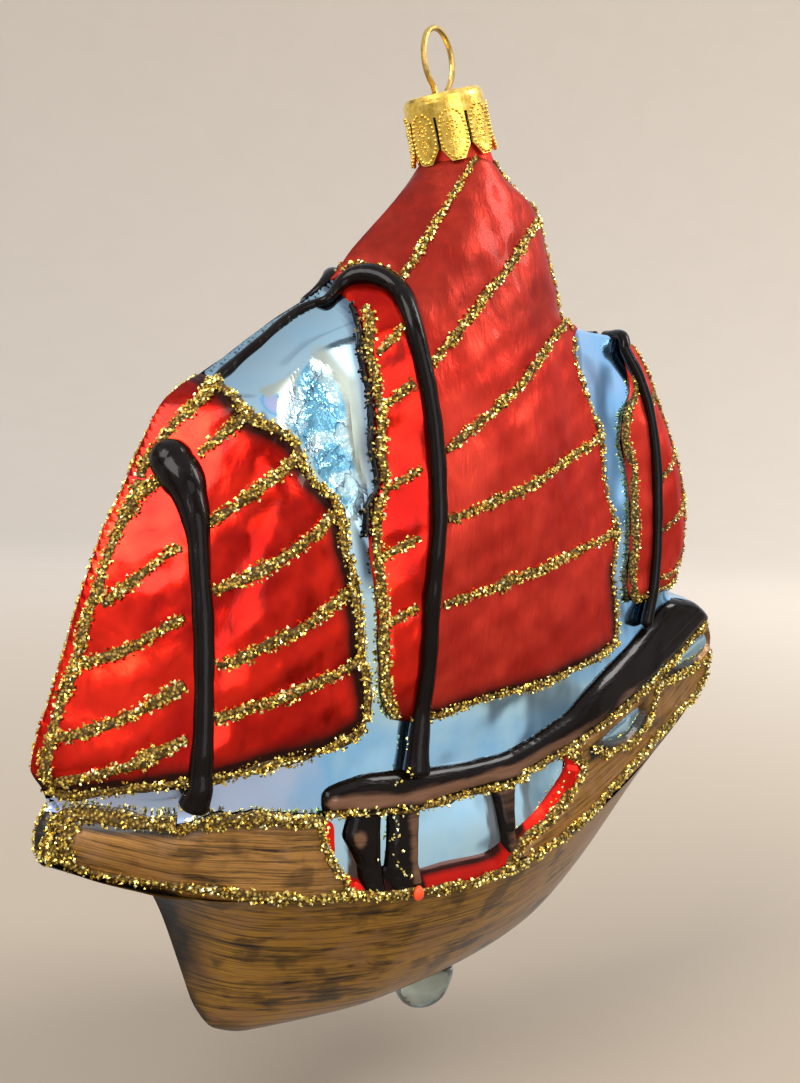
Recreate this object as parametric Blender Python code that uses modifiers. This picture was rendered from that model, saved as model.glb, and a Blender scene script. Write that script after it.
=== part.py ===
"""Chinese junk Christmas ornament: blown glass, stamped metal cap, wire hanger.

Drawing coordinates are millimetres: +X to the bow, +Y to port, +Z up, x = 0 near the cap,
z = 0 at the forefoot. The root empty moves the drawing so that the frame's origin lies where
a hook bears, inside the top of the wire loop. The glass is one blown piece; it is drawn as the
regions that its mould and its painter divide it into, a hair's breadth apart.
"""
import math

import bmesh
import bpy
from mathutils import Matrix, Vector

MM = 0.001
GAP = 0.30          # between neighbouring regions
HOOK = (0.8, 134.5)   # x, z of the inside top of the wire loop

# the cap and the neck share one axis, which leans towards the bow
CAP_X, CAP_Z = -0.9, 126.5
CAP_LEAN = math.radians(19.0)
CAP_HEIGHT, CAP_WALL = 9.2, 0.36
CAP_PETALS = 8
NECK_RADIUS, NECK_LENGTH = 4.95, 15.0
BORE_RADIUS, BORE_DEPTH = 3.7, 13.5
WIRE_RADIUS, LOOP_WIDTH = 0.42, 8.4
LOOP_TURN = math.radians(18.0)

MAIN_MAST_RADIUS, FORE_MAST_RADIUS, MIZZEN_MAST_RADIUS = 1.05, 1.35, 0.8
RAIL_PROUD, SILVER_DEPTH, WALL_DEPTH = 0.45, 0.8, 1.2

# seam of the two mould halves: level z, foremost x, aftmost x
SEAM = [
    (14, 55.6, -59.0), (24, 56.0, -59.6), (28, 57.2, -60.0), (31, 57.4, -60.1),
    (34, 56.6, -60.2), (38, 57.9, -60.4), (42, 57.1, -61.1), (46, 55.7, -61.4),
    (50, 54.4, -59.6), (52.5, 53.7, -56.4), (55, 53.0, -53.9), (58, 52.1, -54.0),
    (62, 50.7, -55.4), (66, 49.2, -55.5), (70, 47.2, -55.1), (74, 45.5, -53.9),
    (78, 43.7, -52.0), (81.5, 41.8, -50.2), (84, 39.0, -48.8), (86, 35.4, -47.7),
    (89, 31.4, -46.0), (92, 27.2, -43.7), (94.2, 23.7, -40.8), (94.9, 22.6, -37.4),
    (95.3, 22.0, -30.4), (96.4, 20.3, -25.4), (98.2, 17.8, -24.6), (100.2, 16.0, -24.1),
    (103, 13.9, -22.9), (106, 11.1, -21.7), (109, 8.2, -20.6), (111.6, 5.8, -18.9),
    (114, 3.5, -14.4), (116, 1.9, -11.2), (117.6, 0.6, -9.3),
]

# half-breadth of the pillow at stations along x, level by level
STATION_X = (58, 43, 32, 22, 11, -5, -22, -31, -40, -56)
BREADTH = [
    (14, (12.5, 15.0, 16.6, 17.6, 18.8, 19.3, 17.4, 15.6, 13.6, 9.5)),
    (24, (12.5, 14.6, 16.2, 17.4, 18.4, 19.0, 17.2, 15.6, 13.6, 9.5)),
    (33, (12.0, 14.0, 15.4, 16.5, 16.9, 17.3, 16.7, 15.5, 13.4, 9.5)),
    (42, (12.5, 14.6, 15.5, 15.5, 16.2, 16.9, 16.0, 14.6, 12.8, 9.5)),
    (50, (13.0, 14.6, 15.4, 15.2, 16.8, 17.4, 15.2, 13.4, 12.2, 10.0)),
    (58, (13.0, 14.4, 15.0, 14.8, 17.1, 17.6, 14.6, 12.9, 12.8, 11.5)),
    (66, (13.0, 14.0, 14.3, 13.6, 17.2, 17.6, 13.8, 12.2, 12.6, 11.5)),
    (74, (12.0, 12.5, 12.6, 11.8, 16.2, 17.0, 12.6, 11.0, 11.8, 10.5)),
    (82, (10.0, 10.0, 10.0, 9.6, 14.8, 15.8, 11.4, 9.6, 10.2, 9.0)),
    (90, (7.0, 7.0, 7.4, 8.0, 13.0, 14.2, 10.2, 8.0, 8.0, 6.5)),
    (97, (5.0, 5.0, 5.4, 6.6, 10.8, 12.6, 9.0, 6.2, 5.6, 4.5)),
    (104, (4.0, 4.0, 4.4, 5.6, 8.6, 10.8, 8.0, 5.0, 4.0, 3.5)),
    (110, (4.0, 4.0, 4.0, 5.0, 7.0, 8.8, 6.4, 4.0, 3.5, 3.0)),
    (115, (4.0, 4.0, 4.0, 5.0, 6.0, 6.8, 5.6, 4.0, 3.0, 3.0)),
    (117.6, (4.0, 4.0, 4.0, 5.0, 5.6, 6.0, 5.4, 4.0, 3.0, 3.0)),
]

# hull sections: x, keel z, gunwale z, gunwale half-breadth, power of the section's curve
HULL = [
    (45.6, 21.8, 23.6, 12.6, 1.6), (43.2, 21.2, 23.4, 13.8, 1.62), (41.6, 19.4, 23.1, 14.3, 1.54),
    (40.4, 17.0, 22.9, 14.7, 1.48), (39.0, 13.4, 22.7, 15.0, 1.39), (37.0, 7.8, 22.4, 15.4, 1.26),
    (35.0, 2.6, 22.0, 15.7, 1.12), (32.0, -1.2, 21.5, 16.2, 0.96), (27.0, -2.8, 20.9, 16.9, 0.79),
    (20.0, -3.0, 20.2, 17.7, 0.63), (10.0, -2.6, 19.7, 18.8, 0.50), (0.0, -1.7, 19.9, 19.3, 0.51),
    (-10.0, -0.7, 21.2, 18.9, 0.57), (-20.0, 1.4, 23.8, 17.5, 0.62), (-30.0, 5.6, 27.5, 15.7, 0.78),
    (-40.0, 13.6, 31.4, 13.2, 1.0), (-50.0, 24.8, 35.8, 10.4, 1.12), (-57.0, 34.0, 39.6, 7.4, 1.1),
    (-60.2, 39.8, 41.6, 3.4, 1.05),
]
SECTION_T = (0.0, 0.02, 0.08, 0.18, 0.32, 0.50, 0.70, 0.86, 1.0)

# borders between the regions, as x, z points seen from the side
GUNWALE = [(66, 27.0), (57, 26.2), (54, 25.6), (50.2, 24.8)] \
    + [(x, zg) for x, zk, zg, y, p in HULL] + [(-70, 45.0)]
CASTLE_TOP = [(66, 33.0), (56, 32.5), (50.4, 32.2), (45.8, 32.2), (41.0, 33.0), (33.4, 32.3),
              (26.6, 31.3)]
CASTLE_AFT = [(26.6, 31.3), (26.8, 29.2), (25.4, 26.0), (23.6, 23.0), (22.6, 20.5)]
RAIL_LOW = [(26.6, 31.3), (22.3, 31.2), (16.4, 30.6), (10.3, 30.6), (1.6, 31.3), (-5.4, 32.0),
            (-9.8, 33.3), (-16.0, 34.8), (-21.6, 36.7), (-29.4, 39.3), (-38.6, 42.2),
            (-46.0, 45.2), (-50.0, 47.2), (-54.0, 49.2), (-68.0, 50.2)]
RAIL_TOP = [(26.6, 34.4), (25.0, 35.0), (19.7, 35.9), (10.2, 35.4), (3.0, 35.4), (-3.4, 35.8),
            (-9.9, 37.6), (-16.2, 39.9), (-20.0, 42.4), (-24.2, 44.5), (-32.2, 48.0), (-38.2, 51.4),
            (-40.8, 53.6), (-44.0, 54.3), (-50.0, 53.4), (-59.0, 52.4), (-68.0, 52.0)]
WAIST_AFT = [(-15.4, 34.7), (-18.2, 33.6), (-19.4, 31.9), (-18.0, 29.2), (-14.4, 26.7),
             (-10.0, 24.4), (-5.2, 22.4), (-2.5, 20.1)]
FLOOR_TOP = [(24.9, 25.0), (21.5, 22.6), (17.0, 22.2), (8.0, 22.6), (0.0, 22.8), (-4.6, 24.8),
             (-10.3, 27.4), (-14.2, 29.9), (-16.2, 32.0), (-15.6, 33.5), (-12.0, 33.7)]
FORE_FOOT = [(66, 35.6), (58, 34.4), (54.5, 33.9), (50.2, 35.5), (45.2, 36.6), (41.6, 36.9),
             (35.4, 37.9), (30.2, 38.4), (24.5, 39.2), (20.6, 40.9), (19.6, 42.4)]
FORE_LEECH = [(19.6, 42.4), (19.3, 45.2), (20.5, 51.4), (21.1, 57.0), (21.3, 60.6), (22.7, 65.3),
              (22.6, 68.9), (23.4, 70.7), (27.1, 73.6), (28.4, 75.8), (29.0, 78.0), (31.4, 79.5),
              (34.0, 80.6), (34.6, 82.9), (35.8, 85.6), (37.6, 90.0)]
MAIN_LUFF = [(16.3, 42.2), (17.7, 45.9), (18.4, 54.8), (19.3, 62.9), (19.4, 65.8), (19.3, 69.3),
             (17.7, 72.2), (18.0, 76.6), (17.6, 80.1), (17.5, 83.8), (17.9, 89.8), (17.3, 93.7),
             (16.7, 97.2), (18.8, 99.6), (24.0, 101.0)]
MAIN_FOOT = [(16.3, 42.2), (13.5, 41.4), (9.9, 41.4), (3.0, 42.7), (-3.3, 43.5), (-9.8, 44.0),
             (-18.9, 45.9), (-24.0, 46.9), (-28.2, 48.2)]
MAIN_LEECH = [(-28.2, 48.2), (-28.4, 51.6), (-27.4, 59.2), (-29.0, 65.8), (-27.2, 69.2),
              (-26.2, 73.0), (-25.9, 80.5), (-23.9, 83.2), (-21.6, 86.8), (-19.8, 90.8),
              (-20.0, 93.4), (-22.0, 95.6), (-25.0, 96.6), (-30.0, 97.2)]
MIZZEN_LUFF = [(-34.6, 99.0), (-33.9, 95.5), (-33.6, 92.8), (-34.4, 90.6), (-34.7, 86.8),
               (-32.6, 82.8), (-31.6, 79.0), (-32.5, 75.1), (-32.7, 69.3), (-32.4, 63.6),
               (-31.7, 57.7), (-32.6, 54.2)]
MIZZEN_FOOT = [(-32.6, 54.2), (-37.2, 54.9), (-41.0, 55.8), (-46.0, 56.8), (-53.0, 57.4),
               (-68.0, 58.0)]
MAST_LINE = [(12.4, 39.5), (11.8, 43.0), (11.5, 49.2), (11.6, 56.0), (11.3, 62.6), (10.8, 70.6),
             (10.9, 78.2), (11.1, 84.6), (11.8, 90.3), (12.2, 94.5), (12.1, 97.3), (12.9, 99.6),
             (14.6, 101.0), (17.0, 102.2)]
POSTS = [(18.1, 21.8), (12.2, 17.2), (-4.4, 1.8)]

scene_objects = list(bpy.data.objects)
for old in scene_objects:
    bpy.data.objects.remove(old, do_unlink=True)

model = bpy.data.collections.new("chinese_junk_ornament")
bench = bpy.data.collections.new("cutters")
bpy.context.scene.collection.children.link(model)
bpy.context.scene.collection.children.link(bench)

root = bpy.data.objects.new("drawing_frame", None)
root.location = (-HOOK[0] * MM, 0.0, -HOOK[1] * MM)
model.objects.link(root)

# the glass pulls off along the neck's axis, so its parent stands on that axis
AXIS = Vector((math.sin(CAP_LEAN), 0.0, math.cos(CAP_LEAN)))
CAP_TOP = Vector((CAP_X, 0.0, CAP_Z))
glass = bpy.data.objects.new("glass_on_neck_axis", None)
glass.location = CAP_TOP * MM
glass.rotation_euler = (0.0, CAP_LEAN, 0.0)
glass.parent = root
model.objects.link(glass)


def paint(name, colour, roughness, metallic=0.0, coat=0.0):
    """A Principled material."""
    material = bpy.data.materials.new(name)
    material.use_nodes = True
    shader = material.node_tree.nodes["Principled BSDF"]
    shader.inputs["Base Color"].default_value = (*colour, 1.0)
    shader.inputs["Roughness"].default_value = roughness
    shader.inputs["Metallic"].default_value = metallic
    shader.inputs["Coat Weight"].default_value = coat
    return material


RED = (0.42, 0.012, 0.015)
WOOD = (0.22, 0.105, 0.035)
DARK = (0.028, 0.014, 0.010)
SILVER = (0.62, 0.74, 0.88)
GOLD = (0.80, 0.56, 0.16)


def place(obj, parent=None):
    """Put a drawing-coordinate object under the root, or under the glass's empty."""
    model.objects.link(obj)
    if parent is None:
        obj.parent = root
    else:
        obj.parent = parent
        obj.matrix_parent_inverse = Matrix.LocRotScale(
            parent.location, parent.rotation_euler, None).inverted()
    return obj


def cutter(obj):
    """Keep a cutter on the bench: wire display, never rendered, under the root."""
    bench.objects.link(obj)
    obj.parent = root
    obj.hide_render = True
    obj.display_type = "WIRE"
    return obj


def lerp_rows(rows, key):
    """Interpolate a table whose rows start with a rising key."""
    if key <= rows[0][0]:
        return rows[0][1:]
    for low, high in zip(rows, rows[1:]):
        if key <= high[0]:
            f = (key - low[0]) / (high[0] - low[0])
            return tuple(a + (b - a) * f for a, b in zip(low[1:], high[1:]))
    return rows[-1][1:]


def station_breadth(row, x):
    """Catmull-Rom interpolation of one BREADTH row at x."""
    xs = STATION_X
    if x >= xs[0]:
        return row[0]
    if x <= xs[-1]:
        return row[-1]
    k = next(i for i in range(len(xs) - 1) if xs[i + 1] <= x <= xs[i])
    t = (xs[k] - x) / (xs[k] - xs[k + 1])
    a = row[k - 1] if k > 0 else row[k]
    b, c = row[k], row[k + 1]
    d = row[k + 2] if k + 2 < len(row) else row[k + 1]
    return 0.5 * (2 * b + (c - a) * t + (2 * a - 5 * b + 4 * c - d) * t * t
                  + (3 * b - a - 3 * c + d) * t ** 3)


BREADTH_ROWS = [(z, *row) for z, row in BREADTH]
RUN = 1.15          # the pillow runs out to the seam over this many half-breadths
BLUNT_STERN = 0.55  # and over less of them at the stern, below the sails


def half_breadth(x, z, grow=0.0):
    """Port surface of the pillow above the gunwale: y at a point seen from the side."""
    fore, aft = lerp_rows(SEAM, z)
    fore, aft = fore + grow, aft - grow
    if not aft < x < fore:
        return 0.0
    y = station_breadth(lerp_rows(BREADTH_ROWS, z), x) + grow
    width = min(RUN * y, 0.5 * (fore - aft))
    stern = width * BLUNT_STERN if z < 54 else width
    # sections grow rounder towards the neck
    q = min(max((z - 107) / 9, 0.0), 1.0)
    power = 1.0 - 0.4 * q * q * (3 - 2 * q)
    for share in ((fore - x) / width, (x - aft) / stern):
        y *= math.sin(math.pi / 2 * min(share, 1.0)) ** power
    return y


def from_bmesh(name, bm):
    bmesh.ops.recalc_face_normals(bm, faces=bm.faces)
    mesh = bpy.data.meshes.new(name)
    bm.to_mesh(mesh)
    bm.free()
    for polygon in mesh.polygons:
        polygon.use_smooth = True
    mesh.set_sharp_from_angle(angle=math.radians(35))
    return mesh


def mirror_y(obj):
    mirror = obj.modifiers.new("both_sides", "MIRROR")
    mirror.use_axis = (False, True, False)
    mirror.merge_threshold = 0.00001
    return obj


LEVELS = [14, 19, 24, 28, 31, 34, 38, 42, 46, 50, 52.5, 55, 58, 62, 66, 70, 74, 78, 81.5, 84, 86, 89,
          92, 94.2, 94.9, 95.3, 96.4, 98.2, 100.2, 103, 106, 109, 111.6, 114, 116, 117.6]
RING = 22


def pillow_mesh(name, grow):
    """Port half of the ornament's body above the keel, open at the seam: one ring per level."""
    bm = bmesh.new()
    rings = []
    for z in LEVELS:
        fore, aft = lerp_rows(SEAM, z)
        fore, aft = fore + grow, aft - grow
        ring = []
        for i in range(RING + 1):
            t = i / RING
            s = 0.5 * (0.5 - 0.5 * math.cos(math.pi * t)) + 0.5 * t
            if i == 1:
                s *= 0.45
            if i == RING - 1:
                s = 1 - (1 - s) * 0.45
            x = fore + (aft - fore) * s
            y = 0.0 if i in (0, RING) else max(half_breadth(x, z, grow), 0.05)
            ring.append(bm.verts.new((x * MM, y * MM, z * MM)))
        rings.append(ring)
    for low, high in zip(rings, rings[1:]):
        for i in range(RING):
            bm.faces.new((low[i], low[i + 1], high[i + 1], high[i]))
    bm.faces.new(rings[0])
    bm.faces.new(list(reversed(rings[-1])))
    return from_bmesh(name, bm)


def inset(outline, distance):
    """Move a closed outline inwards by a distance along its corner bisectors."""
    area = sum(a[0] * b[1] - b[0] * a[1] for a, b in zip(outline, outline[1:] + outline[:1]))
    if area < 0:
        outline = outline[::-1]
    moved = []
    count = len(outline)
    for i in range(count):
        before, here, after = (Vector(outline[j % count]) for j in (i - 1, i, i + 1))
        d1, d2 = (here - before).normalized(), (after - here).normalized()
        n1, n2 = Vector((-d1.y, d1.x)), Vector((-d2.y, d2.x))
        n = n1 + n2
        n = n.normalized() if n.length > 1e-6 else n1
        moved.append(here + n * distance / max(n.dot(n1), 0.45))
    return moved


def slab(name, outline, half_depth=30.0):
    """A flat outline seen from the side, extruded across the ornament, as a closed mesh."""
    curve = bpy.data.curves.new(name, "CURVE")
    curve.dimensions = "2D"
    curve.fill_mode = "BOTH"
    curve.extrude = half_depth * MM
    spline = curve.splines.new("POLY")
    spline.points.add(len(outline) - 1)
    for point, (x, z) in zip(spline.points, outline):
        point.co = (x * MM, z * MM, 0.0, 1.0)
    spline.use_cyclic_u = True
    flat = bpy.data.objects.new(name + "_outline", curve)
    bench.objects.link(flat)
    flat.rotation_euler = (math.radians(90), 0.0, 0.0)
    return to_mesh(flat, name)


def to_mesh(curve_object, name):
    """The evaluated curve as a welded, closed mesh in drawing coordinates."""
    bpy.context.view_layer.update()
    graph = bpy.context.evaluated_depsgraph_get()
    mesh = bpy.data.meshes.new_from_object(curve_object.evaluated_get(graph))
    mesh.transform(curve_object.matrix_world)
    mesh.name = name
    bm = bmesh.new()
    bm.from_mesh(mesh)
    bmesh.ops.remove_doubles(bm, verts=bm.verts, dist=0.000002)
    bmesh.ops.recalc_face_normals(bm, faces=bm.faces)
    bm.to_mesh(mesh)
    bm.free()
    curve = curve_object.data
    bpy.data.objects.remove(curve_object, do_unlink=True)
    bpy.data.curves.remove(curve)
    return mesh


def boolean(obj, other, operation):
    cut = obj.modifiers.new(operation.lower() + "_" + other.name, "BOOLEAN")
    cut.operation = operation
    cut.solver = "EXACT"
    cut.use_self = True
    cut.object = other
    return obj


def tube(name, path, radius, resolution=2):
    """A round bar along drawing-coordinate points, capped, as a closed mesh."""
    curve = bpy.data.curves.new(name, "CURVE")
    curve.dimensions = "3D"
    curve.bevel_depth = radius * MM
    curve.bevel_resolution = resolution
    curve.use_fill_caps = True
    spline = curve.splines.new("POLY")
    spline.points.add(len(path) - 1)
    for point, co in zip(spline.points, path):
        point.co = (co[0] * MM, co[1] * MM, co[2] * MM, 1.0)
    bar = bpy.data.objects.new(name + "_path", curve)
    bench.objects.link(bar)
    return to_mesh(bar, name)


def resample(points, step):
    """Walk a polyline in equal steps."""
    points = [Vector(p) for p in points]
    lengths = [(b - a).length for a, b in zip(points, points[1:])]
    total = sum(lengths)
    count = max(2, round(total / step))
    out = []
    for i in range(count + 1):
        goal = total * i / count
        k = 0
        while k < len(lengths) - 1 and goal > lengths[k]:
            goal -= lengths[k]
            k += 1
        out.append(points[k].lerp(points[k + 1], min(1.0, goal / lengths[k])))
    return out


def region(name, outline, mesh, material, cuts=()):
    """One painted region of the glass: the pillow kept inside an outline."""
    obj = bpy.data.objects.new(name, mesh)
    place(obj, glass)
    mirror_y(obj)
    shape = cutter(bpy.data.objects.new(name + "_outline", slab(name + "_slab", inset(outline, GAP / 2))))
    boolean(obj, shape, "INTERSECT")
    for other in cuts:
        boolean(obj, other, "DIFFERENCE")
    obj.data.materials.clear()
    obj.data.materials.append(material)
    return obj


def own(mesh, name):
    copy = mesh.copy()
    copy.name = name
    return copy


pillow = pillow_mesh("pillow", 0.0)
recess = pillow_mesh("recess", -SILVER_DEPTH)
wall_depth = pillow_mesh("wall_depth", -WALL_DEPTH)
proud = pillow_mesh("proud", RAIL_PROUD)

# masts: half-round ridges bedded in the sails, so each is also its own groove
def mast_path(line, lift, step=2.2, foot=0.0):
    """A mast's centre line over the pillow; a mast with a foot stands clear of the deck there."""
    out = []
    for p in resample([Vector((x, z, 0)) for x, z in line], step):
        stand = 0.65 * min(max((foot + 1.7 - p.y) / 1.5, 0.0), 1.0)
        out.append((p.x, half_breadth(p.x, p.y) + lift + stand, p.y))
    return out


MAIN_MAST = [(12.6, 36.6), (12.3, 40.0), (11.8, 43.0), (11.5, 49.2), (11.6, 56.0), (11.3, 62.6),
             (10.8, 70.6), (10.9, 78.2), (11.1, 84.6), (11.7, 90.3), (12.2, 94.5), (12.1, 97.3),
             (12.8, 99.3), (14.2, 100.0)]
FORE_MAST = [(44.0, 34.2), (43.3, 38.0), (42.9, 46.0), (42.4, 54.8), (41.9, 63.0), (41.4, 68.0),
             (41.2, 71.6), (41.4, 74.0)]
MIZZEN_MAST = [(-35.4, 50.4), (-36.3, 54.6), (-37.0, 61.5), (-37.2, 69.3), (-37.4, 77.1),
               (-36.9, 84.9), (-35.4, 89.6), (-34.2, 91.8), (-33.7, 93.0), (-34.0, 94.2)]

port_main = mast_path(MAIN_MAST, 0.25)
port_mizzen = mast_path(MIZZEN_MAST, 0.2)
port_fore = mast_path(FORE_MAST, 0.3, foot=36.9)


def over_ridge(port, crown):
    """Carry a port mast over the ridge and down the other side."""
    star = [(x, -y, z) for x, y, z in reversed(port)]
    return list(port) + [crown] + star


main_path = over_ridge([p for p in port_main if p[1] > 3.0], (16.6, 0.0, 99.6))
mizzen_path = over_ridge([p for p in port_mizzen if p[1] > 2.2], (-36.6, 0.0, 95.4))
fore_port = port_fore + [(41.8, 3.6, 76.2)]
fore_star = [(x, -y, z) for x, y, z in fore_port]


def groove(name, path, radius):
    return cutter(bpy.data.objects.new(name, tube(name, path, radius + GAP)))


main_groove = groove("main_mast_groove", main_path, MAIN_MAST_RADIUS)
mizzen_groove = groove("mizzen_mast_groove", mizzen_path, MIZZEN_MAST_RADIUS)
fore_grooves = [groove("fore_mast_groove_port", fore_port, FORE_MAST_RADIUS),
                groove("fore_mast_groove_starboard", fore_star, FORE_MAST_RADIUS)]

red_gloss = paint("red_lacquer_gloss", RED, 0.12, 0.85, 1.0)
red_satin = paint("red_lacquer_satin", (0.36, 0.012, 0.014), 0.38, 0.7, 0.3)
wood = paint("painted_wood_brown", WOOD, 0.35, 0.3, 0.5)
dark = paint("dark_brown_enamel", DARK, 0.15, 0.0, 1.0)
silver = paint("silvered_glass", SILVER, 0.05, 1.0, 0.0)
gold = paint("gold_stamped_metal", GOLD, 0.25, 1.0, 0.0)
clear = paint("clear_glass_tip", (0.45, 0.52, 0.48), 0.1, 0.0, 1.0)
floor_red = paint("red_floor_lacquer", (0.6, 0.01, 0.012), 0.12, 0.6, 1.0)

# neck: a plain tube with a blind bore for the hanger's two legs
neck_at = Matrix.Translation(CAP_TOP * MM) @ Matrix.Rotation(CAP_LEAN, 4, "Y")


def turned(name, radius, top, bottom, segments=40):
    """A plain cylinder on the neck's axis, between two depths below the cap's top."""
    bm = bmesh.new()
    bmesh.ops.create_cone(bm, cap_ends=True, segments=segments, radius1=radius * MM,
                          radius2=radius * MM, depth=(bottom - top) * MM)
    bmesh.ops.transform(bm, verts=bm.verts, matrix=neck_at @ Matrix.Translation(
        (0.0, 0.0, -(top + bottom) / 2 * MM)))
    return from_bmesh(name, bm)


neck = place(bpy.data.objects.new("neck", turned("neck", NECK_RADIUS, CAP_WALL + GAP, NECK_LENGTH)), glass)
bore = cutter(bpy.data.objects.new("neck_bore", turned("neck_bore", BORE_RADIUS, -2.0, BORE_DEPTH)))
boolean(neck, bore, "DIFFERENCE")
neck.data.materials.append(silver)
socket = cutter(bpy.data.objects.new("neck_socket", turned("neck_socket", NECK_RADIUS + GAP, -4.0,
                                                          NECK_LENGTH + GAP)))
under_cap = cutter(bpy.data.objects.new("under_cap", turned("under_cap", 9.0, -6.0,
                                                            CAP_HEIGHT + GAP)))

# hull, keel to gunwale
bm = bmesh.new()
rings = []
for x, keel, gunwale, beam, power in HULL:
    top = gunwale - GAP / 2
    ring = [bm.verts.new((x * MM, 0.0, keel * MM))]
    for t in SECTION_T:
        y = 0.6 + (beam - 0.6) * t ** power
        ring.append(bm.verts.new((x * MM, y * MM, (keel + 0.02 + (top - keel - 0.02) * t) * MM)))
    ring.append(bm.verts.new((x * MM, 0.0, top * MM)))
    rings.append(ring)
for a, b in zip(rings, rings[1:]):
    for i in range(len(a) - 1):
        bm.faces.new((a[i], a[i + 1], b[i + 1], b[i]))
bm.faces.new(rings[0])
bm.faces.new(list(reversed(rings[-1])))
hull = place(bpy.data.objects.new("hull", from_bmesh("hull", bm)), glass)
mirror_y(hull)
hull.data.materials.append(wood)

# sealed glass tip under the keel
bm = bmesh.new()
bmesh.ops.create_uvsphere(bm, u_segments=20, v_segments=12, radius=1.0)
bmesh.ops.scale(bm, vec=(5.0 * MM, 4.2 * MM, 4.8 * MM), verts=bm.verts)
bmesh.ops.translate(bm, vec=(-4.0 * MM, 0.0, -2.2 * MM), verts=bm.verts)
tip = place(bpy.data.objects.new("glass_tip", from_bmesh("glass_tip", bm)), glass)
bm = bmesh.new()
bmesh.ops.create_cube(bm, size=1.0)
bmesh.ops.scale(bm, vec=(20 * MM, 20 * MM, 12 * MM), verts=bm.verts)
bmesh.ops.translate(bm, vec=(-4.0 * MM, 0.0, (-2.35 + 6.0) * MM), verts=bm.verts)
tip_trim = cutter(bpy.data.objects.new("glass_tip_trim", from_bmesh("glass_tip_trim", bm)))
boolean(tip, tip_trim, "DIFFERENCE")
tip.data.materials.append(clear)


def cut_line(line, x):
    """z of a border at x."""
    pts = sorted(line)
    return lerp_rows([(a, b) for a, b in pts], x)[0]


def between(line, high, low):
    """The part of a border between two x, highest x first."""
    inner = [p for p in line if low + 0.4 < p[0] < high - 0.4]
    return [(high, cut_line(line, high))] + inner + [(low, cut_line(line, low))]


# regions, each outline walked along its borders
castle = (between(GUNWALE, 66, 22.8)[::-1] + CASTLE_TOP + CASTLE_AFT[1:-1])
region("forecastle", castle, own(pillow, "forecastle"), wood)

waist_floor = FLOOR_TOP[:-1] + [(-13.4, 34.1)] + WAIST_AFT + between(GUNWALE, 22.8, -2.5)[::-1][1:] \
    + [(23.8, 23.0)]
region("waist_floor", waist_floor, own(pillow, "waist_floor"), floor_red)

wall = [(26.6, 31.3), (26.6, 29.0), (25.4, 26.0)] + FLOOR_TOP[1:-1] + [(-13.4, 34.1)] \
    + [p for p in RAIL_LOW if -13.0 < p[0] < 25.0][::-1]
waist = region("waist_wall", wall, own(wall_depth, "waist_wall"), silver)

poop = between(RAIL_LOW, -15.4, -68)[::-1] + WAIST_AFT[1:] + between(GUNWALE, -2.5, -68)[1:]
region("poop_sides", poop, own(pillow, "poop_sides"), wood)

# the rail is a comb: its three posts a side run down over the waist wall
comb = [(26.6, 34.4), (26.6, 31.3)]
for after, ahead in sorted(POSTS, reverse=True):
    foot = max(cut_line(FLOOR_TOP[:6], min(max(after, -5), 24)), cut_line(FLOOR_TOP[:6], min(ahead, 24)))
    comb += [(ahead, cut_line(RAIL_LOW, ahead)), (ahead, foot), (after, foot),
             (after, cut_line(RAIL_LOW, after))]
comb += [p for p in RAIL_LOW if p[0] < -3.6] + RAIL_TOP[::-1][:-1]
core = bpy.data.objects.new("waist_core", pillow_mesh("waist_core", -WALL_DEPTH + GAP))
cutter(core)
mirror_y(core)
core_outline = cutter(bpy.data.objects.new("waist_core_outline", slab(
    "waist_core_slab", [(30, 10), (30, 31.3), (22.3, 31.15)] + [
        (x, z - 0.05) for x, z in RAIL_LOW if -15 < x < 22] + [(-15, 10)])))
boolean(core, core_outline, "INTERSECT")
region("rail_and_posts", comb, own(proud, "rail_and_posts"), dark, [core])

# mirror-bright deck and the two valleys between the sails, one region
silver_outline = (CASTLE_TOP + [(26.6, 34.4)] + RAIL_TOP[1:] + MIZZEN_FOOT[::-1]
                  + MIZZEN_LUFF[::-1][1:] + [(-31, 99)] + MAIN_LEECH[::-1]
                  + MAIN_FOOT[::-1][1:] + MAIN_LUFF[1:] + [(40, 101), (40, 90)]
                  + FORE_LEECH[::-1] + FORE_FOOT[::-1][1:])
region("silver_deck_and_valleys", silver_outline, own(recess, "silver_deck"), silver,
       [main_groove, mizzen_groove])

foresail = FORE_FOOT + FORE_LEECH[1:] + [(66, 90)]
region("foresail", foresail, own(pillow, "foresail"), red_gloss, fore_grooves)

luff_strip = MAIN_LUFF + [(24, 102.4)] + MAST_LINE[::-1][:-1] + [(12.0, 41.3)]
region("mainsail_luff", luff_strip, own(pillow, "mainsail_luff"), red_gloss, [main_groove])

mainsail = [(12.0, 41.3)] + MAST_LINE[1:] + [(24, 102.4), (24, 130), (-30, 130)] \
    + MAIN_LEECH[::-1] + MAIN_FOOT[::-1][1:-2]
region("mainsail", mainsail, own(pillow, "mainsail"), red_satin,
       [main_groove, socket, under_cap])

mizzen = MIZZEN_LUFF + MIZZEN_FOOT[1:] + [(-68, 99)]
region("mizzen_sail", mizzen, own(pillow, "mizzen_sail"), red_satin, [mizzen_groove])


def mast(name, path, radius):
    obj = place(bpy.data.objects.new(name, tube(name, path, radius)), glass)
    obj.data.materials.append(dark)
    return obj


mast("main_mast", main_path, MAIN_MAST_RADIUS)
mast("mizzen_mast", mizzen_path, MIZZEN_MAST_RADIUS)
mast("fore_mast_port", fore_port, FORE_MAST_RADIUS)
mast("fore_mast_starboard", fore_star, FORE_MAST_RADIUS)

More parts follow.
